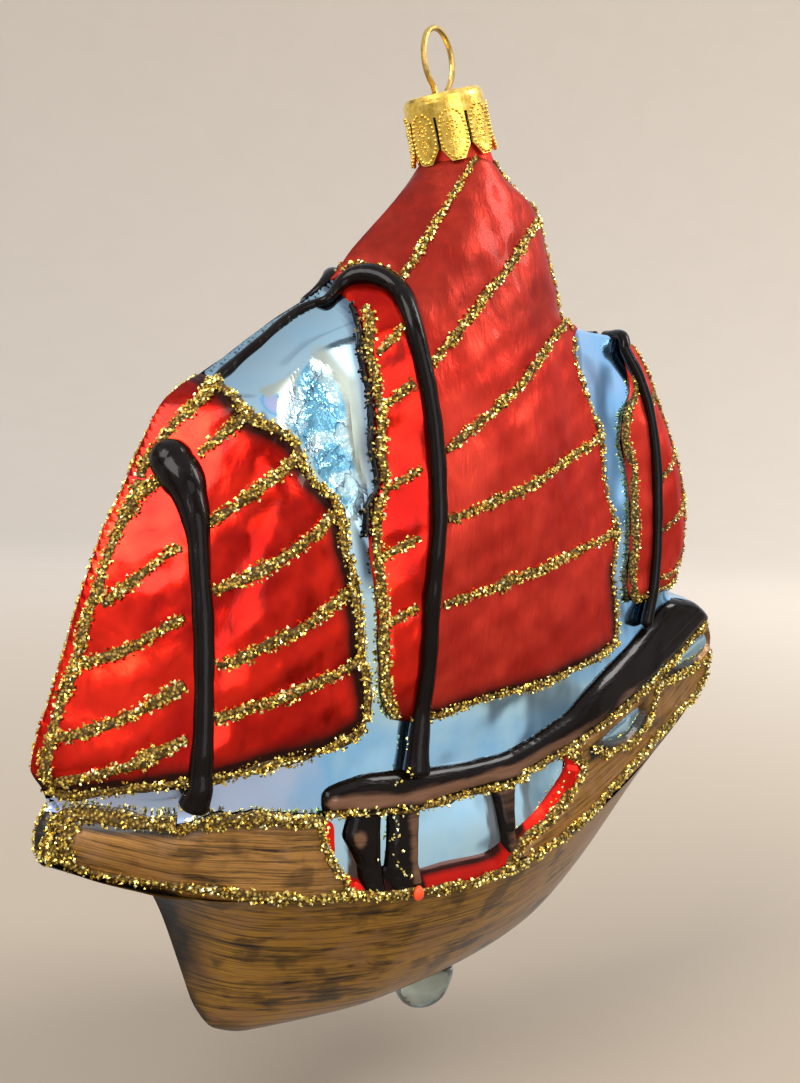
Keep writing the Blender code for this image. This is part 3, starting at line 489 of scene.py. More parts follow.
def wood(name, light, middle, dark, warm):
    """Strokes follow two numbers on the piece: along it, and up it."""
    made = Finish(name, Coat_Weight=0.20, Coat_Roughness=0.14, Specular_IOR_Level=0.25)
    along, rise = made.value_of("along"), made.value_of("rise")
    fine = made.noise(made.joined(along * 0.10, rise * 4.2, 4.0), 1.0, 5.0, 0.66, 0.4)
    broad = made.noise(made.joined(along * 0.075, rise * 1.05, 0.0), 1.0, 5.0, 0.62, 1.2)
    hair = made.noise(made.joined(along * 0.05, rise * 9.0, 8.0), 1.0, 2.0, 0.5, 0.3)
    colour = made.ramp(broad * 0.55 + fine * 0.45, (0.38, dark), (0.445, middle), (0.52, light),
                       (0.66, middle))
    patches = made.noise(made.place(), 6.0, 3.0)
    colour = made.mix(patches.between(0.50, 0.64) * 0.65, colour, warm)
    colour = made.mix((1 - patches).between(0.54, 0.66) * 0.55, colour, dark)
    colour = made.mix((1 - hair).between(0.52, 0.62) * fine.between(0.30, 0.60) * 0.75, colour, dark)
    black = (made.value_of("shade") * 1.3 - 0.55 * made.noise(made.place(), 3.0, 3.0)).clamp()
    made.put("Base Color", made.mix(black, colour, (0.008, 0.005, 0.003)))
    made.put("Metallic", 0.42 - 0.40 * black)
    made.put("Roughness", 0.34 + 0.16 * fine)
    made.put("Normal", made.bump(fine * 0.6 + broad * 0.4, 0.16))
    return made.material


hull_paint = wood("hull_paint_ochre", (0.42, 0.205, 0.024), (0.200, 0.096, 0.011),
                  (0.026, 0.012, 0.003), (0.34, 0.165, 0.060))
panel_paint = wood("panel_paint_brown", (0.35, 0.162, 0.036), (0.19, 0.088, 0.016),
                   (0.030, 0.014, 0.004), (0.34, 0.172, 0.068))

# %% Dark enamel


def dark(name, streaks, patch):
    """Enamel whose brown shows through where the piece's crest is high."""
    made = Finish(name, Coat_Weight=0.16, Coat_Roughness=0.03, Specular_IOR_Level=0.06)
    streak = made.noise(streaks(made), 1.0, 4.0, 0.6, 0.8)
    wide = made.noise(made.place(), 6.0, 2.0)
    lift = (streak * 0.5 + wide * 0.4 + 0.45 * made.value_of("crest")).between(*patch)
    made.put("Base Color", made.mix(lift, (0.005, 0.0025, 0.0015), (0.190, 0.095, 0.055)))
    made.put("Roughness", 0.10 + 0.18 * streak)
    made.put("Metallic", 0.35 * lift)
    made.put("Normal", made.bump(streak, 0.14))
    return made.material


mast_enamel = dark("dark_brown_enamel", lambda made: made.place((0.8, 0.8, 0.22)), (0.66, 0.95))
rail_enamel = dark("brown_rail_enamel", lambda made: made.joined(
    made.value_of("along") * 0.12, made.value_of("rise") * 0.9, 2.0), (0.58, 0.92))

# %% Gold, glitter and clear glass
leaf = Finish("gold_stamped_metal", Metallic=1.0)
dimple = leaf.noise(leaf.place(), 0.8, 4.0, 0.6)
leaf.put("Base Color", leaf.mix(dimple.between(0.35, 0.65), (0.78, 0.47, 0.065), (1.0, 0.68, 0.15)))
leaf.put("Roughness", 0.22 + 0.16 * dimple)
leaf.put("Normal", leaf.bump(dimple, 0.05))
gold_metal = leaf.material

drawn = Finish("gold_drawn_wire", Metallic=1.0)
dull = drawn.noise(drawn.place(), 0.6, 3.0)
drawn.put("Base Color", drawn.mix(dull, (0.42, 0.24, 0.05), (0.78, 0.52, 0.16)))
drawn.put("Roughness", 0.22 + 0.22 * dull)
drawn.put("Normal", drawn.bump(dull, 0.03))
gold_wire = drawn.material

grain = Finish("gold_glitter", Metallic=0.95)
luck = grain.value_of("luck")
grain.put("Base Color", grain.ramp(luck, (0.0, (0.20, 0.115, 0.015)), (0.24, (0.66, 0.44, 0.07)),
                                   (0.65, (1.0, 0.76, 0.17)), (1.0, (1.0, 0.95, 0.55))))
grain.put("Roughness", 0.16 + 0.24 * luck)
gold_glitter = grain.material

bed = Finish("glitter_glue", Metallic=0.6)
speck = bed.cells(bed.place(), 0.45)
bed.put("Base Color", bed.mix(speck.between(0.2, 0.6), (0.42, 0.26, 0.045), (0.085, 0.048, 0.009)))
bed.put("Roughness", 0.45 + 0.2 * speck)
bed.put("Normal", bed.bump(speck, 0.25))
glitter_glue = bed.material

soot = Finish("dark_glitter", Metallic=0.5)
chance = soot.value_of("luck")
soot.put("Base Color", soot.ramp(chance, (0.0, (0.006, 0.004, 0.003)), (0.7, (0.03, 0.018, 0.01)),
                                 (0.9, (0.30, 0.18, 0.05)), (1.0, (0.7, 0.5, 0.2))))
soot.put("Roughness", 0.3 + 0.2 * chance)
dark_glitter = soot.material

pip = Finish("clear_green_glass", Roughness=0.08, IOR=1.5, Transmission_Weight=0.85)
haze = pip.noise(pip.place(), 3.0, 3.0)
pip.put("Base Color", pip.mix(haze, (0.24, 0.30, 0.26), (0.50, 0.56, 0.52)))
pip.put("Normal", pip.bump(haze, 0.3))
clear_glass = pip.material

floor_red = Finish("red_deck_lacquer", Coat_Weight=0.08, Coat_Roughness=0.05, Specular_IOR_Level=0.1,
                   Specular_Tint=(0.95, 0.2, 0.12, 1.0))
stain = floor_red.noise(floor_red.place(), 4.0, 3.0)
deck_darkening = (floor_red.value_of("shade") * 1.2 - 0.3 * stain).clamp()
floor_red.put("Base Color", floor_red.mix(deck_darkening, (0.80, 0.016, 0.008), (0.014, 0.004, 0.003)))
floor_red.put("Metallic", 0.70 - 0.65 * deck_darkening)
floor_red.put("Roughness", 0.12 + 0.12 * stain)
red_deck = floor_red.material
print("finishes:", len(bpy.data.materials))

# %% [markdown]
# ## A skin of glass
# A region of the ornament is a sheet that follows the mould. By hand it would be a grid, cut to
# its outline and pushed on to the form vertex by vertex. Here the grid is added and cut with the
# same tools, and the tables above do the pushing. The rim of a region dips into its neighbour, as
# the relief does in the mould, and the glitter covers that step.

# %% Cut a grid to an outline and lay it on the mould


def inside(points, outline):
    """Which points lie inside a closed outline."""
    x, z = points[:, 0], points[:, 1]
    hit = np.zeros(len(points), bool)
    ring = np.asarray(outline, float)
    for (x0, z0), (x1, z1) in zip(ring, np.roll(ring, -1, 0)):
        cross = (z0 > z) != (z1 > z)
        hit ^= cross & (x < (x1 - x0) * (z - z0) / np.where(cross, z1 - z0, 1) + x0)
    return hit


def nearest(points, line):
    """Distance to a line, and the nearest point on it."""
    line = np.asarray(line, float)
    best = np.full(len(points), 1e9)
    spot = np.zeros_like(points)
    for a, b in zip(line, line[1:]):
        way = b - a
        t = np.clip((points - a) @ way / max(way @ way, 1e-12), 0, 1)
        there = a + t[:, None] * way
        gap = np.linalg.norm(points - there, axis=1)
        closer = gap < best
        best[closer], spot[closer] = gap[closer], there[closer]
    return best, spot


def smoothed(outline, step=0.8):
    """A closed outline with its corners eased."""
    ring = even(list(outline) + [outline[0]], step, soft=False)[:-1]
    for _ in range(2):
        ring = 0.5 * ring + 0.25 * (np.roll(ring, 1, 0) + np.roll(ring, -1, 0))
    return ring


def put_down(obj, points):
    """Give a mesh its points, in the drawing's millimetres."""
    obj.data.vertices.foreach_set("co", (((points - HOOK) * MM).astype(np.float32)).ravel())
    obj.data.update()


def number(obj, name, values):
    """Store one number for each vertex."""
    made = obj.data.attributes.new(name, "FLOAT", "POINT")
    made.data.foreach_set("value", np.asarray(values, np.float32))


def only(obj):
    bpy.ops.object.select_all(action="DESELECT")
    obj.select_set(True)
    bpy.context.view_layer.objects.active = obj


def both_sides(obj):
    """Mirror a port piece to starboard and weld it at the seam."""
    only(obj)
    bpy.ops.object.modifier_add(type="MIRROR")
    mirror = obj.modifiers[-1]
    mirror.use_axis = (False, True, False)
    mirror.merge_threshold = 0.00002
    bpy.ops.object.modifier_apply(modifier=mirror.name)
    bpy.ops.object.shade_smooth()


def dress(obj, material, slot, *nodes):
    """Paint a finished piece, hang it on the glass and hide the CAD nodes that it stands for."""
    obj.data.materials.clear()
    obj.data.materials.append(material)
    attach(obj, "glass")
    if nodes:
        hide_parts(*nodes)
    print(f"{obj.name}: {len(obj.data.polygons)} faces")
    return obj


def skin(name, outline, relief, numbers=None, step=0.5, margin=0.0):
    """A region of the glass. relief and numbers are functions of x, z and the distance inside."""
    ring = smoothed(outline)
    low, high = ring.min(0) - step - margin, ring.max(0) + step + margin
    low[0], high[0] = max(low[0], -62.5), min(high[0], 59.0)
    size = high - low
    bpy.ops.object.select_all(action="DESELECT")
    bpy.ops.mesh.primitive_grid_add(
        x_subdivisions=int(size[0] / step), y_subdivisions=int(size[1] / step), size=1.0,
        location=((low[0] + high[0]) / 2, 0, (low[1] + high[1]) / 2),
        rotation=(math.pi / 2, 0, 0), scale=(1, 1, 1))
    sheet = bpy.context.object
    sheet.scale = (size[0], size[1], 1.0)
    bpy.ops.object.transform_apply(location=True, rotation=True, scale=True)
    sheet.name = sheet.data.name = name
    co = np.zeros(len(sheet.data.vertices) * 3)
    sheet.data.vertices.foreach_get("co", co)
    flat = co.reshape(-1, 3)[:, (0, 2)]
    fore, aft = seam(flat[:, 1])
    x = np.clip(flat[:, 0], aft, fore)
    clamped = (x != flat[:, 0]) | (flat[:, 1] > SEAM[-1, 0])
    flat = np.stack([x, flat[:, 1]], 1)
    closed = np.concatenate([ring, ring[:1]])
    gap, spot = nearest(flat, closed)
    within = inside(flat, ring)
    keep = within | (gap < margin)
    if not margin:
        flat = np.where(keep[:, None], flat, spot)
        gap = np.where(keep, gap, 0.0)
        fore, aft = seam(flat[:, 1])
        flat[:, 0] = np.clip(flat[:, 0], aft, fore)
    else:
        gap = np.where(within, gap, -gap)
    grow = relief(flat[:, 0], flat[:, 1], gap)
    y = np.where(clamped & keep, 0.0, swell(flat[:, 0], flat[:, 1], grow))
    put_down(sheet, np.stack([flat[:, 0], y, flat[:, 1]], 1))
    for key, value in (numbers or {}).items():
        number(sheet, key, value(flat[:, 0], flat[:, 1], gap))
    corners = np.zeros(len(sheet.data.polygons) * 4, int)
    sheet.data.polygons.foreach_get("vertices", corners)
    corners = corners.reshape(-1, 4)
    drop = ~keep[corners].any(1) | clamped[corners].all(1)
    sheet.data.polygons.foreach_set("select", drop)
    bpy.ops.object.mode_set(mode="EDIT")
    bpy.ops.mesh.select_mode(type="FACE")
    bpy.ops.object.mode_set(mode="OBJECT")
    sheet.data.polygons.foreach_set("select", drop)
    bpy.ops.object.mode_set(mode="EDIT")
    bpy.ops.mesh.delete(type="FACE")
    bpy.ops.mesh.select_all(action="SELECT")
    bpy.ops.mesh.delete_loose()
    bpy.ops.object.mode_set(mode="OBJECT")
    ways = np.zeros(len(sheet.data.polygons) * 3)
    sheet.data.polygons.foreach_get("normal", ways)
    if ways.reshape(-1, 3)[:, 1].mean() < 0:
        bpy.ops.object.mode_set(mode="EDIT")
        bpy.ops.mesh.select_all(action="SELECT")
        bpy.ops.mesh.flip_normals()
        bpy.ops.object.mode_set(mode="OBJECT")
    both_sides(sheet)
    return sheet


def rim(low, high, width):
    """A relief that rises from low at the rim to high, round like moulded glass."""
    return lambda x, z, gap: low + (high - low) * np.sqrt(
        1 - (1 - np.clip(gap / width, 0, 1)) ** 2)


# %% [markdown]
# ## The sails
# Between two battens a sail bellies out a little, and the blown glass is nowhere quite even. The
# belly is a real shape here, because it moves the highlights; the finest wrinkles are left to the
# finish. The shade number is the brown that was sprayed inside the leech and the foot.

# %% Batten lines
FORE_BATTENS = [                # aft of the mast, then forward of it
    [(40.3, 79.9), (38.0, 82.4), (35.6, 85.0)], [(40.0, 75.4), (37.4, 78.2), (34.8, 80.8)],
    [(40.6, 67.4), (36.1, 70.8), (29.6, 75.6)], [(41.0, 59.7), (33.3, 63.4), (23.6, 68.9)],
    [(41.2, 51.2), (32.0, 54.5), (21.9, 59.6)], [(41.6, 45.0), (31.9, 47.1), (20.8, 50.4)],
    [(43.2, 72.6), (46.0, 70.0)], [(43.4, 64.9), (47.0, 60.9), (50.4, 57.4)],
    [(43.8, 56.6), (48.7, 52.7), (53.6, 49.9)], [(44.4, 49.0), (50.3, 44.6), (56.2, 41.4)],
    [(44.6, 42.8), (50.8, 39.1), (56.6, 36.0)]]
MAIN_BATTENS = [                # forward of the mast, then aft of it
    [(16.8, 88.9), (13.5, 92.6)], [(16.5, 82.2), (12.8, 85.4)], [(17.0, 71.9), (12.8, 74.7)],
    [(18.2, 63.2), (13.4, 65.8)], [(18.2, 54.3), (13.4, 56.8)],
    [(11.0, 98.9), (3.7, 108.4), (-2.9, 117.2)], [(10.2, 88.0), (0.4, 97.3), (-13.6, 110.0)],
    [(9.2, 77.0), (-2.1, 84.6), (-17.5, 95.9)], [(9.4, 67.9), (-5.1, 72.5), (-25.4, 79.6)],
    [(9.6, 57.0), (-7.6, 60.9), (-28.2, 65.2)]]
MIZZEN_BATTENS = [[(-38.2, 84.6), (-41.5, 87.6), (-44.6, 89.4)],
                  [(-38.4, 73.0), (-43.6, 77.6), (-49.0, 80.4)],
                  [(-38.4, 65.2), (-44.7, 69.0), (-52.6, 72.6)],
                  [(-38.4, 57.8), (-45.0, 59.6), (-51.6, 61.4)]]


def belly(x, z, battens, height, reach):
    """How far a sail bellies out between its battens, plus the unevenness of blown glass."""
    flat = np.stack([x, z], 1)
    away = np.min([nearest(flat, line)[0] for line in battens], axis=0)
    uneven = (np.sin(x * 0.55 + 1.3 * np.sin(z * 0.21)) * np.sin(z * 0.43 + 0.8 * np.sin(x * 0.3))
              + 0.5 * np.sin(x * 1.15 + z * 0.6) * np.sin(z * 0.95 - x * 0.35))
    return height * np.sin(math.pi / 2 * np.clip(away / reach, 0, 1)) + 0.13 * uneven


def sail_relief(battens, low=-0.95, width=1.3, height=0.30, reach=4.5):
    rise = rim(low, 0.0, width)

    def relief(x, z, gap):
        fore, aft = seam(z)
        calm = np.clip(np.minimum(fore - x, x - aft) / 4.0, 0, 1)
        return rise(x, z, gap) + belly(x, z, battens, height, reach) * calm \
            * np.clip(gap / width, 0, 1) - 0.12 * np.clip(gap / width, 0, 1)
    return relief


def shade_near(*lines, width=3.5, start=0.6):
    """1 beside these lines, fading to 0 over a width, as an airbrush leaves it."""
    def shade(x, z, gap):
        flat = np.stack([x, z], 1)
        away = np.min([nearest(flat, line)[0] for line in lines], axis=0)
        return np.clip(1 - (away - start) / width, 0, 1) ** 1.3
    return shade


# %% Lay down the three sails
inner_edge = shade_near(FORE_LEECH, FORE_FOOT[1:], width=2.4, start=2.1)


def foresail_shade(x, z, gap):
    """Brown inside the leech and the foot, and painted shade: a dull far edge above the mast's knob."""
    painted_far_edge_shade = 0.55 * np.clip((seam(z)[0] - x) < 2.0, 0, 1) * np.clip((z - 68) / 4, 0, 1)
    return np.maximum(inner_edge(x, z, gap), painted_far_edge_shade)


foresail = skin("foresail_skin", FORE_FOOT + FORE_LEECH[1:] + [(60, 90)], sail_relief(FORE_BATTENS),
                {"shade": foresail_shade})
dress(foresail, red_gloss, "red_gloss", "foresail")

luff = skin("mainsail_luff_skin", MAIN_LUFF + MAST_LINE[::-1][3:-1] + [(12.0, 41.3)],
            sail_relief(MAIN_BATTENS),
            {"shade": shade_near([(15.0, 40.0), (15.0, 40.1)], width=9.0)})
dress(luff, red_gloss, "red_gloss", "mainsail_luff")

main_edge = shade_near(MAIN_FOOT, MAIN_LEECH[:3], width=3.0, start=1.4)


def mainsail_shade(x, z, gap):
    """Brown inside the foot, and painted shade: a deeper red towards the peak and along the seam there.
    """
    painted_peak_shade = 0.52 * np.clip((z - 86) / 10, 0, 1) + 0.14 * np.clip(1 - (seam(z)[0] - x) / 7, 0, 1)
    return np.maximum(main_edge(x, z, gap), np.where(z > 88, painted_peak_shade, 0.0))


mainsail = skin("mainsail_skin", [(12.0, 41.3)] + MAST_LINE[1:] + [(24.0, 94.5), (26, 100),
                                                                  (8, 117.5), (-22, 117.5), (-30, 100)]
                + MAIN_LEECH[::-1] + MAIN_FOOT[::-1][1:-2], sail_relief(MAIN_BATTENS),
                {"shade": mainsail_shade})
dress(mainsail, red_satin, "red_satin", "mainsail")

mizzen = skin("mizzen_sail_skin", MIZZEN_LUFF + MIZZEN_FOOT[1:] + [(-64, 99)],
              sail_relief(MIZZEN_BATTENS, height=0.2),
              {"shade": shade_near(MIZZEN_FOOT, width=2.0)})
dress(mizzen, red_satin, "red_satin", "mizzen_sail")

# %% [markdown]
# ## Silver ground
# The mirror is one region that runs under all the sails: the deck, the two valleys between them
# and the band above the rail. It lies a little deeper, so it is drawn first in depth and wider
# than it shows.

# %% Silver deck, valleys and waist
CRUMPLED = [(24.7, 86.9), (25.8, 85.8), (26.6, 84.7), (27.4, 81.8), (29.0, 79.8), (27.7, 78.2),
            (26.5, 75.5), (24.9, 73.5), (22.7, 71.5), (21.2, 69.0), (20.2, 72.0), (21.0, 75.4),
            (21.2, 79.6), (21.1, 82.1), (21.9, 84.6), (22.9, 86.0)]
silver_outline = (CASTLE_TOP + [(26.6, 34.4)] + RAIL_TOP[1:] + MIZZEN_FOOT[::-1]
                  + MIZZEN_LUFF[::-1][1:] + [(-31, 99)] + MAIN_LEECH[::-1]
                  + MAIN_FOOT[::-1][1:] + MAIN_LUFF[1:] + [(19.0, 97.2), (22.4, 95.2), (40, 95), (40, 90)]
                  + FORE_LEECH[::-1] + FORE_FOOT[::-1][1:])


# The crumpled region shapes the relief and marks where the foil reflection is painted.
def crumple_and_painted_foil_at(x, z, gap):
    flat = np.stack([x, z], 1)
    ring = np.array(CRUMPLED + CRUMPLED[:1], float)
    away = np.where(inside(flat, ring), 0.0, nearest(flat, ring)[0])
    return np.clip(1 - away / 1.2, 0, 1)


def painted_warm_reflection_at(x, z, gap):
    """Painted reflection: the warm glow of the room beside the foil, and a wedge of it to the left."""
    flat = np.stack([x, z], 1)
    foil = nearest(flat, [(23.0, 88.0), (20.4, 85.0), (19.8, 78.0), (20.0, 73.0)])[0]
    wedge = nearest(flat, [(31.8, 83.3), (28.6, 84.6), (26.6, 85.6)])[0]
    return np.clip(np.maximum(0.75 * (1 - foil / 2.6), 1 - wedge / 0.9), 0, 1) * (z > 70)


def hue_at(x, z, gap):
    """0 is a greyish cyan, a half is blue and 1 is lavender, laid out partly as painted reflection."""
    # Painted reflection: blue aft and on the deck band, lavender on the fore deck and in a spot near the
    # foil.
    bloom = np.clip(1.5 - np.hypot(x - 31.2, z - 82.0) / 1.3, 0, 1)
    cold = 0.14 * np.clip(1 - nearest(np.stack([x, z], 1), RIDGE)[0] / 8.0, 0, 1)
    aft = np.clip((2 - x) / 20, 0, 1) * np.clip((z - 40) / 6, 0, 1)
    fore = np.clip((x - 24) / 8, 0, 1) * np.clip((46 - z) / 4, 0, 1)
    band = np.clip((46 - z) / 6, 0, 1) * (1 - fore)
    return np.maximum(0.06 + np.maximum(np.maximum(0.46 * aft, 0.34 * band), cold) + 0.70 * fore, bloom)


RIDGE = [(20.6, 96.0), (21.8, 95.0), (24.8, 93.1), (29.2, 89.9), (33.6, 86.3), (36.5, 84.6)]


def painted_dark_reflection_at(x, z, gap):
    """Painted reflection: the dark room that a mirror shows, painted along the ridge of the seam and
    beside the luff.
    """
    fore, aft = seam(z)
    flat = np.stack([x, z], 1)
    line = nearest(flat, RIDGE)[0]
    beside_luff = np.clip(1 - (nearest(flat, MAIN_LUFF)[0] - 0.8) / 1.3, 0, 1) * (x < 22) \
        * np.clip((z - 58) / 3, 0, 1)
    slope = 0.58 * np.clip(1 - (line - 0.4) / 8.5, 0, 1) * np.clip((z - 76) / 4, 0, 1)
    return np.maximum(slope, 0.85 * beside_luff)


def veil_at(x, z, gap):
    """Thin brown paint that was let run down the wall beside the posts."""
    strips = ((-2.3, 0.3, 0.85), (-8.6, -6.6, 0.7), (15.6, 17.9, 0.0), (20.6, 22.9, 1.0))
    paint = np.zeros_like(x)
    for aft, fore, thick in strips:
        edge = np.clip(np.minimum(x - aft, fore - x) / 0.35 + 0.4 * np.sin(z * 1.7), 0, 1)
        paint = np.maximum(paint, thick * edge)
    return paint


SILVER_NUMBERS = {"crumple": lambda x, z, gap: 0.0 * x, "hue": lambda x, z, gap: 0.22 + 0.0 * x,
                  "cream": lambda x, z, gap: 0.0 * x,
                  "dusk": lambda x, z, gap: 0.0 * x, "veil": lambda x, z, gap: 0.0 * x}


def ground(x, z, gap):
    uneven = np.sin(x * 0.35 + 0.9 * np.sin(z * 0.17)) * np.sin(z * 0.31 + 0.4)
    return -0.85 + 0.10 * uneven - 0.12 * crumple_and_painted_foil_at(x, z, gap) * np.abs(np.sin(x * 1.1 + z * 0.7))


ground_skin = skin("silver_ground_skin", silver_outline, ground,
                   {**SILVER_NUMBERS, "crumple": crumple_and_painted_foil_at, "hue": hue_at, "dusk": painted_dark_reflection_at,
                    "cream": painted_warm_reflection_at},
                   step=0.5, margin=1.4)
dress(ground_skin, silver.material, "silvered_glass", "silver_deck_and_valleys")

wall_outline = [(27.2, 32.0), (27.4, 29.0), (26.2, 25.0), (23.0, 21.6), (12.0, 21.0), (-2.0, 21.6),
                (-12.0, 26.6), (-18.0, 31.0), (-18.0, 35.4), (-9.4, 34.4), (2.0, 32.4), (16.5, 31.6)]
wall = skin("waist_wall_skin", wall_outline, lambda x, z, gap: -1.35 + 0.05 * np.sin(x * 0.6),
            {**SILVER_NUMBERS, "veil": veil_at}, step=0.4)
dress(wall, silver.material, "silvered_glass", "waist_wall")

# %% [markdown]
# ## The waist
# Under the rail the ship is open: a red deck slopes up from the gunwale to the mirror wall behind
# the posts. The deck gets darker where it meets the wall.

# %% Red deck of the waist
floor_outline = FLOOR_TOP + [(-13.4, 34.3)] + WAIST_AFT + part_of(GUNWALE, 22.8, -2.5)[::-1][1:] \
    + [(23.8, 23.0), (25.4, 26.0), (26.9, 29.4), (26.9, 31.2), (25.2, 30.6), (25.4, 27.6)]


def floor_relief(x, z, gap):
    flat = np.stack([x, z], 1)
    up_gap = nearest(flat, FLOOR_TOP)[0]
    return -1.45 + 1.35 * np.clip(up_gap / 2.2, 0, 1) ** 0.8


def floor_shade(x, z, gap):
    """Black under the windows and beside the posts, clean red at both ends."""
    edge = nearest(np.stack([x, z], 1), FLOOR_TOP)[0]
    under = np.clip((13.5 - x) / 1.0, 0, 1) * np.clip((x + 4.5) / 3.0, 0, 1)
    posts = np.clip((18.6 - x) / 0.8, 0, 1) * np.clip((x - 11.0) / 0.8, 0, 1)
    third = np.clip((-1.8 - x) / 0.6, 0, 1) * np.clip((x + 6.8) / 0.6, 0, 1) * np.clip(
        1.4 - edge / 1.6, 0, 1)
    return np.clip(np.maximum(np.maximum(under * np.clip(1.5 - edge / 1.5, 0.55, 1), posts),
                              np.maximum(third, 0.9 * np.clip(1 - edge / 0.5, 0, 1))), 0, 1)


deck = skin("waist_deck_skin", floor_outline, floor_relief, {"shade": floor_shade}, step=0.35)
dress(deck, red_deck, "red_gloss", "waist_floor")

# %% Rail and posts
comb = [(26.6, 34.4), (26.6, 31.3)]
for post in POSTS:
    fore_edge = [(ahead, level) for level, after, ahead in post[1:]]
    aft_edge = [(after, level) for level, after, ahead in post[1:]][::-1]
    comb += [(post[0][2], float(at_x(RAIL_LOW, post[0][2])))] + fore_edge + aft_edge \
        + [(post[0][1], float(at_x(RAIL_LOW, post[0][1])))]
comb += [p for p in RAIL_LOW if p[0] < -6.0] + RAIL_TOP[::-1][:-1]


def inside_post(x, z):
    """How far a point is inside a post's two edges."""
    deep = np.full_like(x, -9.0)
    for post in POSTS:
        level, after, ahead = np.array(post[::-1]).T
        deep = np.maximum(deep, np.minimum(x - np.interp(z, level, after),
                                           np.interp(z, level, ahead) - x))
    return deep


def rail_relief(x, z, gap):
    low = at_x(RAIL_LOW, x)
    crown = np.sqrt(1 - (1 - np.clip(gap / 1.7, 0, 1)) ** 2)
    post = np.sqrt(1 - (1 - np.clip(inside_post(x, z) / 1.5, 0, 1)) ** 2)
    foot = np.clip((24.0 - z) / 3.0, 0, 1)
    return np.where(z < low, -1.35 + (1.15 + 0.25 * foot) * post, -1.0 + 1.5 * crown)


def rail_crest(x, z, gap):
    """Brown shows in the lower half of the band and on the aft side of a post."""
    height = z - at_x(RAIL_LOW, x)
    band = 1.2 * np.exp(-((height - 1.6) / 1.0) ** 2) * np.clip((x + 30) / 20, 0.45, 1)
    aft_side = np.clip((14.6 - x) / 1.2, 0, 1) * (x > 8) + 0.7 * (x < 0)
    smear = np.clip(1.5 - np.hypot(x - 21.6, z - 27.7) / 1.3, 0, 1)
    return np.where(height > 0, band, np.maximum(0.75 * aft_side, smear)) * np.clip(gap / 0.8, 0, 1)


rail = skin("rail_and_posts_skin", comb, rail_relief,
            {"along": lambda x, z, gap: x, "rise": lambda x, z, gap: z - at_x(RAIL_LOW, x),
             "crest": rail_crest}, step=0.4)
dress(rail, rail_enamel, "dark_enamel", "rail_and_posts")

# %% [markdown]
# ## Forecastle, poop and hull
# The wooden parts carry two more numbers, how far along and how far up a point is, so the paint
# strokes follow the strakes of the ship rather than the axes of the room.

# %% Forecastle and poop
castle = part_of(GUNWALE, 58, 22.8)[::-1] + [(60, 26.9)] + CASTLE_TOP + CASTLE_AFT[1:-1]
tip_dark = shade_near([(57.0, 33.0), (56.6, 26.4), (52.0, 24.6), (45.6, 23.2)], CASTLE_TOP,
                      width=1.3, start=0.9)


def wood_numbers(floor_line, height):
    return {"along": lambda x, z, gap: x,
            "rise": lambda x, z, gap: (z - at_x(floor_line, x)) / height * 4.0}


castle_skin = skin("forecastle_skin", castle, rim(-0.5, 0.0, 0.9),
                   {**wood_numbers(GUNWALE, 8.0), "shade": tip_dark}, step=0.5)
dress(castle_skin, panel_paint, "wood_brown", "forecastle")

poop = part_of(RAIL_LOW, -15.4, -64)[::-1] + WAIST_AFT[1:] + part_of(GUNWALE, -2.5, -64)[1:]


def poop_relief(x, z, gap):
    flat = np.stack([x, z], 1)
    dip = np.zeros(len(flat))
    for window in WINDOWS:
        ring = np.array(window + window[:1], float)
        deep = np.where(inside(flat, ring), nearest(flat, ring)[0], 0.0)
        dip = np.maximum(dip, np.clip(deep / 0.5, 0, 1))
    return rim(-0.5, 0.0, 0.9)(x, z, gap) - 1.1 * dip


poop_skin = skin("poop_skin", poop, poop_relief,
                 {**wood_numbers(GUNWALE, 9.0), "shade": shade_near(
                     [(-21.0, 33.4), (-35.8, 36.4)], [(-40.0, 42.6), (-50.0, 42.8)], width=2.0)},
                 step=0.4)
dress(poop_skin, panel_paint, "wood_brown", "poop_sides")
for count, window in enumerate(WINDOWS):
    pane = skin(f"poop_window_{count + 1}", window, lambda x, z, gap: -0.75 + 0.25 * np.clip(gap, 0, 1),
                SILVER_NUMBERS, step=0.3)
    dress(pane, silver.material, "silvered_glass")

# %% Hull


